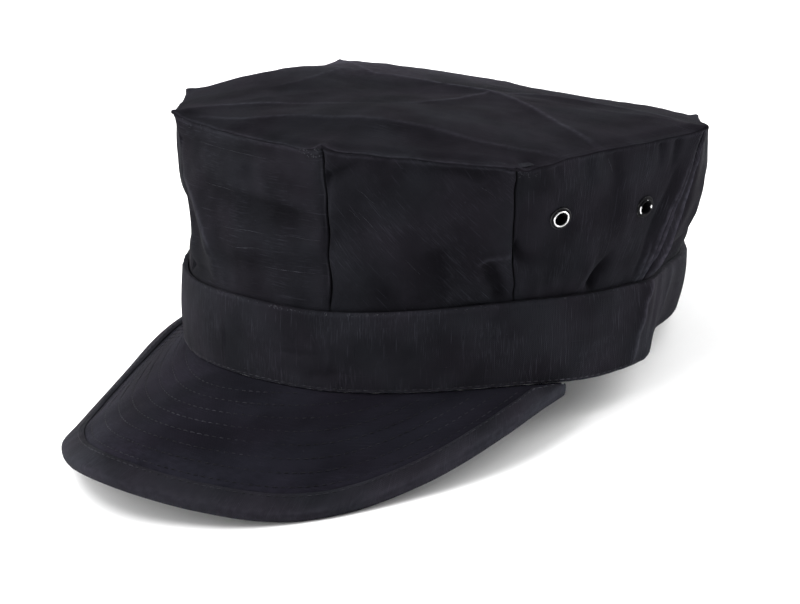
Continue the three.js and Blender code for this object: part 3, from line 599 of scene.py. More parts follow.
# From the cap's own frame to where it stands
def standing_frame():
    """The matrix from the cap's own frame, in millimetres, to the standing cap's, in the scene's metres."""
    shares = np.linspace(-1, 1, 41)
    edge = binding_points(shares, binding_section).reshape(-1, 3)
    heel = band_point(np.array(180.0), np.array(0.0), 0)
    lean = np.max(np.arctan2(heel[2] - edge[:, 2], heel[1] - edge[:, 1]))
    turn = Matrix.Rotation(-lean, 4, "X")
    turned = edge @ np.array(turn.to_3x3()).T
    low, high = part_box("peak_binding")
    floor = Vector((0, -sin(lean), cos(lean))).dot(Vector(heel)) + FLOOR_PRESS
    shift = Vector((0.5 * (low[0] + high[0]), low[1] - turned[:, 1].min() * MM, -floor * MM))
    return Matrix.Translation(shift) @ turn @ Matrix.Scale(MM, 4)


STANDING = standing_frame()
STANDING_ARRAY = np.array(STANDING)


def to_scene(points):
    """Turns points of the cap's own frame to the standing cap's, and presses what is under the floor flat."""
    flat = np.asarray(points, float).reshape(-1, 3)
    placed = flat @ STANDING_ARRAY[:3, :3].T + STANDING_ARRAY[:3, 3]
    placed[:, 2] = np.maximum(placed[:, 2], 0)
    return placed


# Meshes
def add_object(name, data):
    made = bpy.data.objects.new(name, data)
    bpy.context.scene.collection.objects.link(made)
    return made


def add_piece(name, points, faces, material, node=None, uv=None, marks=None, sharp=50):
    """Makes a piece from points in the scene's metres. uv is its cloth laid flat, in millimetres."""
    mesh = bpy.data.meshes.new(name)
    mesh.from_pydata(points.tolist(), [], faces)
    mesh.validate()
    if uv is not None:
        index = np.empty(len(mesh.loops), np.int64)
        mesh.loops.foreach_get("vertex_index", index)
        cloth = mesh.uv_layers.new(name="cloth")
        cloth.data.foreach_set("uv", (uv.reshape(-1, 2)[index] * MM).ravel())
    for key, values in (marks or {}).items():
        mesh.attributes.new(key, "FLOAT", "POINT").data.foreach_set("value", values.ravel())
    mesh.polygons.foreach_set("use_smooth", np.ones(len(mesh.polygons), bool))
    mesh.set_sharp_from_angle(angle=radians(sharp))
    mesh.materials.append(material)
    piece = add_object(name, mesh)
    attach(piece, "root")
    if node:
        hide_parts(node)
    return piece


def grid_faces(rows, columns, start=0, turned=False, wrap=False, close=False):
    """A grid's four-sided faces. wrap joins its last column to its first, and close its last row."""
    r, c = np.meshgrid(np.arange(rows - (not close)), np.arange(columns - (not wrap)), indexing="ij")
    right, below = (c + 1) % columns, (r + 1) % rows
    quads = [r * columns + c, r * columns + right, below * columns + right, below * columns + c]
    quads = np.stack(quads, -1).reshape(-1, 4) + start
    return (quads[:, ::-1] if turned else quads).tolist()


def border_faces(rows, columns):
    """The faces that join the borders of two grids, one after the other in the list of points."""
    half = rows * columns
    grid = np.arange(half).reshape(rows, columns)
    a = np.concatenate([grid[0], grid[1:, -1], grid[-1, -2::-1], grid[-2:0:-1, 0]])
    b = np.roll(a, -1)
    return np.stack([b, a, a + half, b + half], -1).tolist()


def add_shell(name, outer, inner, uv, marks, material, node):
    """A closed sheet between an outer and an inner grid of points."""
    rows, columns = outer.shape[:2]
    faces = grid_faces(rows, columns) + grid_faces(rows, columns, rows * columns, turned=True)
    faces += border_faces(rows, columns)
    twice = {key: np.stack([values, values]) for key, values in marks.items()}
    points = to_scene(np.stack([outer, inner]))
    return add_piece(name, points, faces, material, node, np.stack([uv, uv]), twice)


def add_tube(points, faces, path, normals, across, halves, turns):
    """Adds a thin tube to lists of points and faces. halves is half its thickness along its path."""
    base, sides = len(points), len(turns)
    for centre, up, side, half in zip(path, normals, across, halves):
        points += [centre + (side * cos(turn) + up * sin(turn)) * half for turn in turns]
    walls = grid_faces(len(path), sides, base, wrap=True)
    faces += [*walls, list(range(base, base + sides))[::-1], list(range(len(points) - sides, len(points)))]


def add_threads(name, points, faces, material):
    points = np.array(points)
    add_piece(name, to_scene(points), faces, material, uv=points[:, :2])


def spread(low, high, step):
    return np.linspace(low, high, max(int(round((high - low) / step)) + 1, 2))


def closer_at_ends(low, high, step, start=True):
    """Places from low to high, a step apart and closer together within EDGE_FINE of the end, or of both."""
    first = spread(low, low + EDGE_FINE, step / 3)[:-1] if start else []
    middle = spread(low + EDGE_FINE * start, high - EDGE_FINE, step)
    return np.concatenate([first, middle, spread(high - EDGE_FINE, high, step / 3)[1:]])


def arc_length(path):
    """How far each point of a path lies along it."""
    return np.concatenate([[0], np.cumsum(np.linalg.norm(np.diff(path, axis=0), axis=-1))])


# The pieces
def side_panel(i, material, enamels):
    """A panel of cloth whose edges turn inwards along its seams and under the top, with its eyelets."""
    panel = PANELS[i]
    width = panel_width(i)
    top = PANEL_HEIGHT - TOP_GAP
    x = np.concatenate([[-SEAM_TURN], closer_at_ends(0, width, CLOTH_STEP), [width + SEAM_TURN]])
    y = np.concatenate([closer_at_ends(-CROWN_TUCK, top, CLOTH_STEP, start=False), [top + SEAM_TURN]])
    x, y = np.meshgrid(x, y)
    turned = np.maximum(np.maximum(-x, x - width), y - top).clip(0, None)
    s = np.clip(x, 0.02, width - 0.02) / width
    v = np.minimum(y, top) / PANEL_HEIGHT
    outer = fine_wall(i, s, v) - seam_normal(i, s, v) * turned[..., None]
    s_in = np.clip(x, TURN_THICK, width - TURN_THICK) / width
    v_in = np.minimum(y, top - TURN_THICK) / PANEL_HEIGHT
    deep = np.maximum(turned, CROWN_WALL)
    inner = wall(i, s_in, v_in) - seam_normal(i, s_in, v_in) * deep[..., None]
    turn = radians(panel.grain)
    uv = np.stack([x * cos(turn) + y * sin(turn), -x * sin(turn) + y * cos(turn)], -1)
    uv += CLOTH_SHIFT * i
    own = [fold for fold in FOLDS if fold.panel == i]
    # lighter on the fold crests by wear and painted highlight, and along a line under the top seam
    worn = crest_wear_and_highlight(s, v, own, width, PANEL_HEIGHT, -1) + 0.6 * panel.worn * bell((top - y - 0.9) / 0.5)
    to_glint = {2: width - x, 3: x}.get(i, 100)
    marks = {
        # painted shade along the side seams and where the panel goes in under the band's upper edge
        "seam": np.clip(bell(np.minimum(x, width - x) / 0.5) + 0.4 * bell(y), 0, 1),
        # lighter on the crests by wear and painted highlight, and with a painted glint on the wrinkles beside
        # the fourth corner's seam
        "worn": worn * (1 + GLINT * bell(to_glint / 9)),
        # painted shade, darker deep in the folds
        "painted_shade": painted_shade_in_folds(s, v, own, width, PANEL_HEIGHT),
    }
    name = panel.name + "_panel"
    piece = add_shell(name + "_cloth", outer, inner, uv, marks, material, name)
    if i not in EYELET_PANELS:
        return
    for eyelet in EYELETS:
        s = np.array(1 - eyelet.s if EYELET_PANELS[i] else eyelet.s)
        v = np.array(eyelet.v)
        seat = eyelet_seat(wall(i, s, v), normal_of(wall, i, s, v))
        punch(piece, seat)
        eyelet_ring(f"eyelet_{panel.name}_{eyelet.name}", seat, enamels[eyelet.name])


def eyelet_seat(point, normal):
    way = (STANDING.to_3x3() @ Vector(normal)).normalized()
    return Matrix.Translation(STANDING @ Vector(point)) @ way.to_track_quat("Z", "Y").to_matrix().to_4x4()


def punch(piece, seat):
    """Cuts an eyelet's hole through a panel."""
    bpy.ops.mesh.primitive_cylinder_add(vertices=40, radius=(EYELET_HOLE / 2 + 0.7) * MM, depth=12 * MM)
    drill = bpy.context.object
    drill.matrix_world = seat
    cut = piece.modifiers.new("hole", "BOOLEAN")
    cut.object = drill
    cut.operation = "DIFFERENCE"
    cut.solver = "EXACT"
    bpy.context.view_layer.update()
    with bpy.context.temp_override(object=piece, active_object=piece):
        bpy.ops.object.modifier_apply(modifier=cut.name)
    bpy.data.objects.remove(drill)


def eyelet_ring(name, seat, material):
    """A spool: a flange outside the cloth with a rolled rim round its hole, a barrel and a washer inside."""
    hole, flange = EYELET_HOLE / 2, EYELET_FLANGE / 2
    front, back = 0.35, -CROWN_WALL - 0.5
    # each point of the section: its radius, its height over the cloth and how bare its metal is
    profile = [(flange - 0.15, front, 0), (flange, front + 0.12, 0.03), (flange - 0.12, front + 0.28, 0.04)]
    profile += [(flange - 0.35, front + 0.33, 0), (hole + EYELET_ROLL * 2 + 0.05, front + 0.36, 0)]
    for turn in np.linspace(0, pi, 11):
        radius = hole + 0.12 + EYELET_ROLL * (1 + cos(turn))
        profile.append((radius, front + 0.35 + 0.55 * sin(turn), 0.15 < turn / pi < 0.85))
    profile += [(hole + 0.02, front, 0), (hole, back - 0.2, 0), (hole + 0.15, back - 0.45, 0)]
    profile += [(flange - 0.1, back - 0.45, 0), (flange, back - 0.25, 0), (flange - 0.1, back, 0)]
    profile += [(hole + 0.4, back, 0), (hole + 0.4, front, 0)]
    radius, high, bare = (np.tile(values, (EYELET_STEPS, 1)) for values in np.array(profile, float).T)
    turns = np.arange(EYELET_STEPS)[:, None] * 2 * pi / EYELET_STEPS
    points = np.stack([radius * np.cos(turns), radius * np.sin(turns), high], -1).reshape(-1, 3) * MM
    place = np.array(seat)
    points = points @ place[:3, :3].T + place[:3, 3]
    faces = grid_faces(EYELET_STEPS, len(profile), turned=True, wrap=True, close=True)
    add_piece(name + "_ring", points, faces, material, name, marks={"bare": bare}, sharp=60)


def top_cloth(material):
    """A sheet of rings round its middle, whose sewn edge is thinner and stands up a little."""
    rings = np.concatenate([spread(2, 90, 1.1), spread(90.5, 97, 0.5), spread(97.25, 100, 0.25)]) / 100
    parts = []
    for i in range(8):
        s, k = np.meshgrid(spread(0, panel_width(i), 1.5)[:-1] / panel_width(i), rings)
        plain = top_point(i, s, k)
        away = np.linalg.norm((top_point(i, s, np.ones_like(k)) - plain)[..., :2], axis=-1)
        x, y = plain[..., 0], plain[..., 1]
        to_tip = np.minimum(s, 1 - s) * panel_width(i)
        rise = mix(0.25, CROWN_WALL, smoothstep(away, 0, 7)) + 0.3 * bell(away - 1.2)
        rise += 0.8 * bell(np.hypot(away, to_tip) / 2.5)
        rise += (0.35 * ripple(x, y, 34, 5) + 0.08 * ripple(x, y, 9, 6)) * smoothstep(away, 1, 8)
        rise += 0.25 * ripple(x, y, 10, 7) * bell((away - 3) / 4)
        across, down = 2 * x / TOP_WIDTH, 2 * y / TOP_LENGTH
        # the crests lighter by wear and painted highlight
        crest = crest_wear_and_highlight(across, down, TOP_FOLDS, TOP_WIDTH / 2, TOP_LENGTH / 2, 1)
        # painted highlight: the top lighter towards its back right corner
        lightened = TOP_PAINTED_LIGHT * smoothstep(0.67 * down - 0.74 * across, -0.1, 0.9)
        worn = 0.9 * crest + lightened + PANELS[i].worn * bell((away - 0.4) / 0.5)
        # painted shade along the top seam
        seam = PANELS[i].dark * bell(away / 0.5)
        under = plain + seam_stray(i, s) * bell(away / 6)[..., None]
        parts.append((under + rise[..., None] * [0, 0, 1], under, seam, worn))
    upper, under, seam, worn = (np.concatenate(part, axis=1) for part in zip(*parts))
    rows, columns = worn.shape
    half = rows * columns
    centre = top_point(0, np.zeros(1), np.zeros(1))
    grid = np.concatenate([upper, under[::-1]]).reshape(-1, 3)
    points = np.concatenate([grid, centre + [0, 0, CROWN_WALL], centre])
    faces = grid_faces(2 * rows, columns, turned=True, wrap=True)
    for j in range(columns):
        ahead, last = (j + 1) % columns, 2 * half - columns
        faces += [[2 * half, j, ahead], [2 * half + 1, last + ahead, last + j]]
    uv = points[:, :2] @ np.array([[0.9, -0.43], [0.43, 0.9]])
    marks = {"seam": np.append(seam, np.zeros(half + 2)), "worn": np.append(worn, np.zeros(half + 2))}
    add_piece("crown_top_cloth", to_scene(points), faces, material, "crown_top", uv, marks)


def band_dents(angles, high):
    """How far the band's small folds draw it in."""
    dents = [near_path(angles, high, fold, DEGREE, BAND_HEIGHT) for fold in BAND_CREASES]
    return np.sum(dents, axis=0) * smoothstep(high, -0.1, 0.12) * smoothstep(1.1 - high, 0, 0.2)


def band_cloth(material):
    """A doubled strip with rolled edges, its row of stitches drawn in."""
    turns = np.arange(BAND_STEPS) * 360 / BAND_STEPS
    angles, high = np.meshgrid(turns, spread(0, 1, CLOTH_STEP / BAND_HEIGHT))
    arc = arc_length(oval(turns, 0, 0 * turns)[:, :2]) + 0 * high
    y = high * BAND_HEIGHT
    to_edge = np.minimum(y, BAND_HEIGHT - y)
    rolled = np.maximum(0, 1 - to_edge / 0.9) ** 2
    inset = np.where(high < 0.5, 0.3, 0.6) * rolled - BAND_ROUND * column(BAND_SECTION, "swell", high)
    inset += ROW_DEPTH * bell((y - HEM_ROW) / 0.5) + band_dents(angles, high)
    inset -= 0.16 * ripple(arc, y, 30, 3) * to_edge / 14 + 0.05 * ripple(arc, y * 0.4, 8, 4)
    inset -= 0.14 * ripple(arc, 0 * arc, 6, 8) * bell(to_edge / 3)
    opened = np.where(high > 0.5, bell(apart(angles, BAND_OPEN) / BAND_OPEN_WIDE), 1)
    inner = band_point(angles, high, BAND_WALL - 0.6 * rolled * mix(-0.5, 1, opened))
    grid = np.concatenate([band_point(angles, high, inset), inner[::-1]])
    rubbed = 0.8 * bell(y / 0.7) + 0.25 * bell((BAND_HEIGHT - y - 0.5) / 0.5)
    # lighter on the crests by wear and painted highlight; rubbed is wear at the hem and the upper edge
    worn = crest_wear_and_highlight(angles, high, BAND_CREASES, DEGREE, BAND_HEIGHT, -1) + rubbed
    uv = np.stack([y, arc], -1)
    faces = grid_faces(*grid.shape[:2], wrap=True, close=True)
    add_piece("band_cloth", to_scene(grid), faces, material, "band",
              np.concatenate([uv, uv[::-1]]), {"worn": np.concatenate([worn, 0 * worn])})


def peak_cloth(material):
    share, k = np.meshgrid(np.linspace(-1, 1, PEAK_STEPS), np.linspace(1, 0, PEAK_STEPS_OUT))
    full = peak_line(share)[2]
    out = k * (full - BINDING_WALL - GAP)
    normal, plain = peak_normal(share, out), peak_point(share, out)
    x, y = plain[..., 0], plain[..., 1]
    rise = 0.18 * ripple(x, y, 38, 21) * smoothstep(out, 2, 14) + 0.04 * ripple(x, y, 8, 22)
    for row in PEAK_ROWS:
        rise -= ROW_DEPTH * bell((full - out - row) / 0.7)
    upper = plain + normal * np.minimum(rise, 0.2)[..., None]
    marks = {
        # painted shade where the binding's inner edge lies on the peak
        "seam": 0.5 * bell((full - out - BINDING_WIDTH) / 1.2),
        # painted highlight: the peak lighter towards its outer edge near its middle
        "worn": PEAK_PAINTED_LIGHT * smoothstep(out / full, 0.5, 0.85) * bell(share / 0.7),
    }
    uv = np.stack([x, out], -1)
    add_shell("peak_cloth", upper, plain - normal * PEAK_THICK, uv, marks, material, "peak")


def rounded_section(width):
    """The binding's section with a round nose and a soft step where its upper edge is sewn down."""
    section = binding_section(width, rounds=11)
    over = GAP + BINDING_WALL
    top = [mix(width, section[1][0], t**1.5) for t in np.linspace(0.1, 0.96, BINDING_TOP_STEPS)]
    fine = [(x, over - 0.8 * bell((x - width) / 0.9)) for x in top]
    return [(width, over - 0.88), *fine, *section[1:]]


def binding_cloth(material):
    grid = binding_points(np.linspace(-1, 1, BINDING_STEPS), rounded_section)
    steps, size = grid.shape[:2]
    draws = ripple(np.linspace(0, 400, steps), np.zeros(steps), 9, 41)
    grid[:, 1:BINDING_TOP_STEPS, 2] += 0.08 * draws[:, None]
    faces = grid_faces(steps, size, turned=True, wrap=True)
    faces += [list(range(size)), list(range((steps - 1) * size, steps * size))[::-1]]
    uv = np.stack(np.meshgrid(arc_length(grid[steps // 2]), arc_length(grid[:, 0])), -1)
    inward = np.array([x for x, _ in rounded_section(BINDING_WIDTH)])
    marks = {
        # painted shade along the binding's inner edge
        "seam": np.tile(0.5 * bell(np.arange(size) / 1.2), steps),
        # painted highlight along the binding's outer edge
        "worn": np.tile(BINDING_PAINTED_RIM * bell(inward / BINDING_PAINTED_RIM_WIDE), steps),
    }
    points = to_scene(grid)
    add_piece("peak_binding_cloth", points, faces, material, "peak_binding", uv, marks)


def stitch_row(name, path, normals, material):
    """Stitches along a line of close points, each a short thread that rises out of the cloth and dips in."""
    arc = arc_length(path)
    halves = np.array([0.55, 1, 1, 1, 0.55]) * STITCH_THICK / 2
    turns = np.arange(6) * 2 * pi / 6
    points, faces = [], []
    for start in np.arange(0.5, arc[-1] - STITCH_LONG, STITCH_PITCH):
        at = start + STITCH_LONG * np.arange(5) / 4
        centre = np.stack([np.interp(at, arc, way) for way in path.T], -1)
        normal = unit(np.stack([np.interp(at, arc, way) for way in normals.T], -1))
        ahead = np.minimum(np.searchsorted(arc, at), len(path) - 1)
        side = unit(np.cross(unit(path[ahead] - path[ahead - 1]), normal))
        raised = centre + normal * np.array([-0.14, 0.08, 0.12, 0.08, -0.14])[:, None]
        add_tube(points, faces, raised, normal, side, halves, turns)
    add_threads(name, points, faces, material)


def band_normal(angles):
    turn = np.radians(angles)
    return unit(np.stack([np.sin(turn) / BAND_WIDTH, -np.cos(turn) / BAND_LENGTH, 0 * turn], -1))


def band_stitches(material):
    angles = np.linspace(0, 360, 1201)
    high = np.full_like(angles, HEM_ROW / BAND_HEIGHT)
    swell = BAND_ROUND * column(BAND_SECTION, "swell", high)
    path = band_point(angles, high, -swell + ROW_DEPTH + band_dents(angles, high))
    stitch_row("band_stitches", path, band_normal(angles), material)


def peak_stitches(material):
    share = np.linspace(-1, 1, 900)
    for n, row in enumerate(PEAK_ROWS):
        out = peak_line(share)[2] - row
        place = share[out > 2.5], out[out > 2.5]
        normals = peak_normal(*place)
        path = peak_point(*place) - normals * ROW_DEPTH
        stitch_row(f"peak_stitches_{n}", path, normals, material)


def binding_stitches(material):
    share = np.linspace(-0.97, 0.97, 900)
    full = peak_line(share)[2]
    out = full - np.minimum(BINDING_WIDTH, full - BAND_WALL - GAP) * BINDING_ROW
    normals = peak_normal(share, out)
    path = peak_point(share, out) + normals * (GAP + BINDING_WALL)
    stitch_row("binding_stitches", path, normals, material)


# Fibres that cling to the band, panel None, or to a panel. They lie from first to last along it, and down
# from high by up to deep, closer to high with a greater power.
LINT = table("seed count panel first last high deep power", [
    (401, 70, None, -12, 62, 1.005, 0.03, 1),
    (402, 22, None, 60, 150, 1.005, 0.03, 1),
    (403, 22, None, 180, 340, 1.005, 0.03, 1),
    (404, 16, None, -20, 60, 0, -0.1, 1),
    (405, 26, 0, 0.86, 0.995, 1, 0.05, 2),
    (406, 8, 0, 0.05, 0.3, 1, 0.06, 1),
    (407, 22, 2, 0.005, 0.1, 1, 0.07, 2),
    (409, 12, 2, 0.97, 0.995, 1, 0.2, 1),
    (410, 14, 5, 0.02, 0.98, 1, 0.05, 1),
    (411, 14, 6, 0.02, 0.98, 1, 0.05, 1),
])
STRAND_TURNS = (0, 2.1, 4.2)  # a strand has three sides


def lint_place(panel, at, high):
    """The place of a fibre and the way out of the cloth there."""
    at, high = np.array(at), np.array(high)
    if panel is None:
        return band_point(at, high, -BAND_ROUND * (1 - high)), band_normal(at)
    return fine_wall(panel, at, high), normal_of(plain_wall, panel, at, high)


def lint_fibres(material):
    """Short pale fibres that cling to the edges and seams, each a thin bent thread."""
    points, faces = [], []
    t = np.linspace(0, 1, 4)[:, None]
    for patch in LINT:
        draws = np.random.default_rng(patch.seed)
        for _ in range(patch.count):
            at = mix(patch.first, patch.last, draws.uniform())
            high = patch.high - patch.deep * draws.uniform() ** patch.power
            point, normal = lint_place(patch.panel, at, high)
            side = unit(np.cross(normal, unit(draws.normal(size=3))))
            bend = np.cross(normal, side) * draws.uniform(-0.5, 0.5)
            long, thick = draws.uniform(0.3, 1.1), draws.uniform(0.06, 0.12)
            path = point + side * long * (t - 0.5) + bend * long * t * t
            path = path + normal * (0.02 + 0.12 * np.sin(pi * t))
            across = unit(np.cross(side, normal))
            add_tube(points, faces, path, [normal] * 4, [across] * 4, [thick / 2] * 4, STRAND_TURNS)
    add_threads("lint_fibres", points, faces, material)


# Single threads that stand light out of a panel's weave, each from and to a place (s, v) on it
PULLED_THREADS = table("panel start end", [
    (0, (0.167, 0.885), (0.669, 0.895)),
    (0, (0.25, 0.655), (0.456, 0.644)),
    (0, (0.397, 0.41), (0.68, 0.43)),
    (0, (0.72, 0.436), (0.97, 0.439)),
    (0, (0.477, 0.301), (0.669, 0.331)),
    (0, (0.66, 0.215), (0.93, 0.225)),
    (1, (0.176, 0.791), (0.276, 0.703)),
    (1, (0.13, 0.66), (0.19, 0.6)),
    (1, (0.18, 0.653), (0.28, 0.535)),
    (1, (0.423, 0.356), (0.498, 0.25)),
    (1, (0.816, 0.874), (0.9, 0.78)),
    (2, (0.473, 0.946), (0.51, 0.845)),
])


def pulled_threads(material):
    points, faces = [], []
    t = np.linspace(0, 1, 40)
    for n, (panel, start, end) in enumerate(PULLED_THREADS):
        s = mix(start[0], end[0], t)
        v = mix(start[1], end[1], t) + 0.004 * ripple(t, 0 * t, 0.6, 500 + n)
        normals = normal_of(plain_wall, panel, s, v)
        path = fine_wall(panel, s, v) + normals * 0.02
        across = unit(np.cross(np.gradient(path, axis=0), normals))
        halves = PULLED_THICK * (0.6 + 0.4 * ripple(t, 0 * t, 0.2, 520 + n).clip(-1, 1))
        halves *= np.sin(pi * t) ** 0.3
        add_tube(points, faces, path, normals, across, halves, STRAND_TURNS)
    add_threads("pulled_threads", points, faces, material)


# Materials
WEAVE_PITCH = 0.0007  # of the plain weave, in metres
GLINT = 1.8  # how much lighter the thin wrinkles beside the fourth corner's seam are, a painted glint
WEAR_AND_HIGHLIGHT_GAIN = 1.4  # how much lighter a crest is than the cloth, less one, by wear and a painted highlight; the other painted highlights scale with it
THREAD_FADE = 2.2  # how much lighter a thread is where it has faded
PAINTED_SHADE_STRENGTH = 0.4  # how much darker the cloth is painted deep in a fold, a painted shade
FADED_TEAL = (0.965, 1.012, 1.0)  # the two casts of faded black, as shares of the cloth's color
FADED_VIOLET = (1.03, 0.985, 1.015)


def new_material(name):
    material = bpy.data.materials.new(name)
    material.use_nodes = True
    material.node_tree.nodes.clear()
    return material, material.node_tree


def node(tree, kind, inputs=None, **settings):
    made = tree.nodes.new("ShaderNode" + kind)
    for key, value in settings.items():
        setattr(made, key, value)
    for key, value in (inputs or {}).items():
        if isinstance(value, bpy.types.NodeSocket):
            tree.links.new(value, made.inputs[key])
        else:
            made.inputs[key].default_value = value
    return made


def maths(tree, operation, first, *others):
    """The result of an operation on one value, or on several, one after the other."""
    if not others:
        return node(tree, "Math", {0: first}, operation=operation).outputs[0]
    for other in others:
        first = node(tree, "Math", {0: first, 1: other}, operation=operation).outputs[0]
    return first


def times(tree, *values):
    return maths(tree, "MULTIPLY", *values)


def plus(tree, *values):
    return maths(tree, "ADD", *values)


def ramp(tree, value, low, high, dark=0.0, light=1.0):
    """value from low to high becomes dark to light, smoothly."""
    ends = {0: value, 1: low, 2: high, 3: dark, 4: light}
    return node(tree, "MapRange", ends, interpolation_type="SMOOTHSTEP").outputs[0]


def noise(tree, place, scale, detail=3.0):
    return node(tree, "TexNoise", {"Vector": place, "Scale": scale, "Detail": detail}).outputs["Fac"]


def mark(tree, name):
    return node(tree, "Attribute", attribute_name=name).outputs["Fac"]


def coordinates(tree, kind):
    return node(tree, "TexCoord").outputs[kind]


def scaled(tree, color, light):
    return node(tree, "VectorMath", {0: color, "Scale": light}, operation="SCALE").outputs[0]


def principled(tree, color, roughness, inputs):
    return node(tree, "BsdfPrincipled", {"Base Color": color, "Roughness": roughness, **inputs}).outputs[0]


def output(tree, shader):
    node(tree, "OutputMaterial", {"Surface": shader})


def slubs(tree, across, along, pitch, wide, seed):
    """Broken lines of thicker threads, pitch apart. across counts over them, along runs down them."""
    turns = maths(tree, "DIVIDE", across, pitch)
    off = maths(tree, "ABSOLUTE", maths(tree, "SUBTRACT", maths(tree, "FRACT", turns), 0.5))
    line = ramp(tree, off, wide / pitch, 0.2 * wide / pitch)
    row = times(tree, maths(tree, "FLOOR", turns), 3.7)
    place = node(tree, "CombineXYZ", {0: times(tree, along, 100.0), 1: row, 2: seed}).outputs[0]
    return times(tree, line, ramp(tree, noise(tree, place, 1.0, 1.0), 0.56, 0.72))


def streaks(tree, across, along, long, thin):
    """Fine broken streaks along the threads, long and thin metres in size."""
    sizes = {0: maths(tree, "DIVIDE", along, long), 1: maths(tree, "DIVIDE", across, thin)}
    place = node(tree, "CombineXYZ", sizes).outputs[0]
    return ramp(tree, noise(tree, place, 1.0, 1.5), 0.54, 0.72)


def cloth_material(name, color, grid_light, grain_light, sheen, shine=0.02):
    """Black ripstop: a fine plain weave, uneven thicker threads mostly one way, faded patches and lint."""
    material, tree = new_material(name)
    cloth = node(tree, "UVMap", uv_map="cloth").outputs[0]
    x, y, _ = node(tree, "SeparateXYZ", {0: cloth}).outputs
    warp = slubs(tree, x, y, 0.0025, 0.0002, 1.0)
    weft = slubs(tree, y, x, 0.0021, 0.00024, 7.0)
    weave = times(tree, *[maths(tree, "SINE", times(tree, way, 2 * pi / WEAVE_PITCH)) for way in (x, y)])
    grain = plus(tree, streaks(tree, y, x, 0.0035, 0.00036), streaks(tree, y, x, 0.012, 0.0005))
    patches = ramp(tree, noise(tree, cloth, 55.0, 2.0), 0.42, 0.62)
    lint = ramp(tree, noise(tree, cloth, 1000.0, 1.0), 0.76, 0.82)
    rubbed = ramp(tree, noise(tree, cloth, 420.0), 0.36, 0.64, 0.45, 1.0)
    light = plus(
        tree,
        ramp(tree, noise(tree, cloth, 45.0, 4.0), 0.3, 0.7, 0.76, 1.26),
        times(tree, weft, grid_light),
        times(tree, warp, 0.15 * grid_light),
        times(tree, grain, patches, grain_light),
        times(tree, lint, 1.2),
        # wear and painted highlights, broken up in patches
        times(tree, mark(tree, "worn"), rubbed, WEAR_AND_HIGHLIGHT_GAIN),
    )
    # painted shade: darker along the seams and where the pieces meet
    seam = ramp(tree, mark(tree, "seam"), 0.2, 1.0, 1.0, 0.4)
    # painted shade deep in the folds
    painted_shade = ramp(tree, mark(tree, "painted_shade"), 0.1, 1.0, 1.0, 1 - PAINTED_SHADE_STRENGTH)
    hue = ramp(tree, noise(tree, cloth, 32.0, 2.0), 0.35, 0.65)
    teal, violet = ((*np.multiply(color, cast).tolist(), 1) for cast in (FADED_TEAL, FADED_VIOLET))
    base = node(tree, "Mix", {0: hue, 6: teal, 7: violet}, data_type="RGBA").outputs[2]
    tint = scaled(tree, base, times(tree, light, seam, painted_shade))
    height = plus(tree, times(tree, weave, 0.25), weft, times(tree, warp, 0.5), times(tree, grain, 0.7))
    bump = node(tree, "Bump", {"Height": height, "Distance": 0.00012, "Strength": 0.7}).outputs[0]
    output(tree, principled(tree, tint, 0.9, {
        "Normal": bump,
        "Specular IOR Level": shine,
        "Sheen Weight": sheen,
        "Sheen Roughness": 0.3,
        "Sheen Tint": (0.93, 0.94, 1.0, 1.0),
    }))
    return material


def thread_material(name, color):
    material, tree = new_material(name)
    place = coordinates(tree, "Object")
    shade = ramp(tree, noise(tree, place, 700.0), 0.3, 0.7, 0.6, 1.6)
    lightened = ramp(tree, noise(tree, place, 38.0, 2.0), 0.53, 0.7, 0.85, THREAD_FADE)
    tint = scaled(tree, color, times(tree, shade, lightened))
    twist = node(tree, "TexWave", {"Vector": place, "Scale": 900.0, "Distortion": 2.0}).outputs["Fac"]
    bump = node(tree, "Bump", {"Height": twist, "Distance": 0.00005}).outputs[0]
    output(tree, principled(tree, tint, 0.8, {"Normal": bump, "Specular IOR Level": 0.12}))
    return material


def eyelet_material(name, bareness):
    """Black enamel, worn to bright metal on the rolled rim round the hole, and a little at the outer edge."""
    material, tree = new_material(name)
    place = coordinates(tree, "Object")
    chips = ramp(tree, noise(tree, place, 260.0, 2.0), 0.66 - bareness * 0.6, 0.7 - bareness * 0.6)
    bare = times(tree, mark(tree, "bare"), chips)
    scratched = ramp(tree, noise(tree, place, 1500.0, 2.0), 0.35, 0.7, 0.25, 0.45)
    metal = principled(tree, (0.7, 0.7, 0.7, 1), scratched, {"Metallic": 1.0})
    enamel = principled(tree, (0.004, 0.004, 0.005, 1), 0.6, {"Specular IOR Level": 0.05})
    output(tree, node(tree, "MixShader", {0: bare, 1: enamel, 2: metal}).outputs[0])
    return material


# The camera, in the cap's own frame: where it is, what it looks at and its roll
CAMERA_AZIMUTH = 48.35
CAMERA_ELEVATION = 15.1
CAMERA_ROLL = 0.46
CAMERA_DISTANCE = 881.69
CAMERA_TARGET = (4.49, -24.78, 11.92)
CAMERA_FOCAL = 2342.27  # in pixels of the 800-pixel-wide image
IMAGE_WIDTH = 800
SENSOR = 36

# The light tent: its strength away from the camera's side and on it, and the cosines between which it changes
TENT_LIGHT = 0.82
TENT_DARK = 0.3
TENT_FROM = -0.3
TENT_TO = 0.9
# Its brighter sides: how far each is turned from the camera, how much light it adds, and from which cosine on
TENT_SIDES = ((124, 8.2), (-108, 5.3))
SIDE_FROM = 0.5
# The lamp over the cap, in metres and watts, and the point that it is aimed at
KEY_PLACE = (-0.35, -1.4, 3.75)
KEY_TARGET = (0, 0, 0.05)
KEY_SIZE = 2.2
KEY_POWER = 120


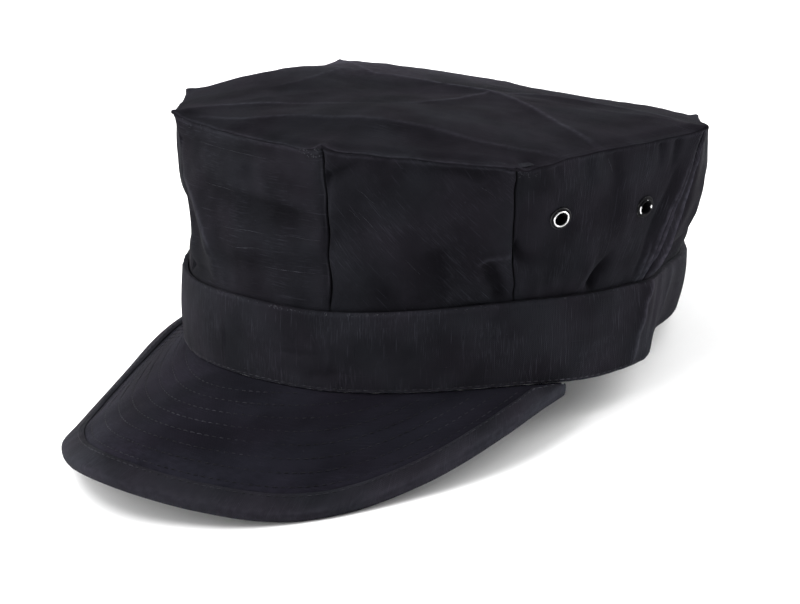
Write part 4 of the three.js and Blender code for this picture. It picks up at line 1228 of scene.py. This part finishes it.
def add_camera():
    azimuth, elevation, roll = (radians(a) for a in (CAMERA_AZIMUTH, CAMERA_ELEVATION, CAMERA_ROLL))
    turn = Matrix.Rotation(azimuth, 3, "Z") @ Matrix.Rotation(pi / 2 - elevation, 3, "X")
    eye = Vector(CAMERA_TARGET) + turn.col[2] * CAMERA_DISTANCE
    turn = STANDING.to_3x3().normalized() @ turn @ Matrix.Rotation(roll, 3, "Z")
    data = bpy.data.cameras.new("camera")
    data.sensor_width = SENSOR
    data.lens = SENSOR * CAMERA_FOCAL / IMAGE_WIDTH
    data.clip_start = 0.01
    camera = add_object("camera", data)
    camera.matrix_world = Matrix.Translation(STANDING @ eye) @ turn.to_4x4()
    bpy.context.scene.camera = camera


def add_lamp():
    data = bpy.data.lights.new("key", "AREA")
    data.shape = "DISK"
    data.size = KEY_SIZE
    data.energy = KEY_POWER
    lamp = add_object("key", data)
    lamp.location = KEY_PLACE
    lamp.rotation_euler = (Vector(KEY_TARGET) - Vector(KEY_PLACE)).to_track_quat("-Z", "Y").to_euler()


def add_studio():
    """A light tent: white all round, brighter at both sides and dimmer on the camera's side."""
    scene = bpy.context.scene
    scene.view_settings.view_transform = "Standard"
    scene.view_settings.look = "None"
    scene.world = bpy.data.worlds.new("studio")
    scene.world.use_nodes = True
    tree = scene.world.node_tree
    way = scene.camera.matrix_world.to_3x3().col[2]
    way = Vector((way.x, way.y, 0)).normalized()
    place = coordinates(tree, "Generated")

    def facing(direction):
        return node(tree, "VectorMath", {0: place, 1: direction}, operation="DOT_PRODUCT").outputs["Value"]

    strength = ramp(tree, facing(way), TENT_FROM, TENT_TO, TENT_LIGHT, TENT_DARK)
    for turn, light in TENT_SIDES:
        side = Matrix.Rotation(radians(turn), 3, "Z") @ way
        strength = plus(tree, strength, ramp(tree, facing(side), SIDE_FROM, 1.0, 0.0, light))
    background = tree.nodes["Background"]
    tree.links.new(strength, background.inputs["Strength"])
    background.inputs["Color"].default_value = (1, 1, 1, 1)


def add_floor():
    bpy.ops.mesh.primitive_plane_add(size=12)
    floor = bpy.context.object
    floor.name = "floor"
    material, tree = new_material("floor_paper")
    shade = ramp(tree, noise(tree, coordinates(tree, "Object"), 40.0), 0.3, 0.7, 0.955, 0.975)
    tint = node(tree, "CombineColor", {0: shade, 1: shade, 2: shade}).outputs[0]
    output(tree, principled(tree, tint, 0.9, {}))
    floor.data.materials.append(material)


def build():
    crown = cloth_material("crown_ripstop", (0.0087, 0.0085, 0.0108), 0.9, 0.7, 0.005)
    strip = cloth_material("band_ripstop", (0.0104, 0.0102, 0.0129), 1.0, 0.8, 0.006)
    # the top's cloth is darker than the panels', a painted shade against the stronger light on it
    top = cloth_material("top_ripstop", (0.0074, 0.0072, 0.009), 0.3, 0.4, 0.001, 0.004)
    brim = cloth_material("peak_ripstop", (0.008, 0.0076, 0.011), 0.3, 0.4, 0.006)
    edging = cloth_material("binding_cotton", (0.0122, 0.012, 0.0152), 0.2, 0.4, 0.01)
    thread = thread_material("black_thread", (0.0095, 0.0093, 0.012))
    pale = thread_material("faded_thread", (0.017, 0.017, 0.021))
    enamels = {
        "front": eyelet_material("eyelet_enamel_worn", 1.0),
        # the rear ring shows less bare metal than the front's, a painted shade for the darker things it
        # reflects
        "rear": eyelet_material("eyelet_enamel_shaded", 0.22),
    }
    for i in range(8):
        side_panel(i, crown, enamels)
    top_cloth(top)
    band_cloth(strip)
    peak_cloth(brim)
    binding_cloth(edging)
    band_stitches(pale)
    peak_stitches(thread)
    binding_stitches(pale)
    lint_fibres(thread_material("pale_lint", (0.045, 0.046, 0.052)))
    pulled_threads(thread_material("light_thread", (0.027, 0.027, 0.033)))
    add_camera()
    add_studio()
    add_lamp()
    add_floor()


build()
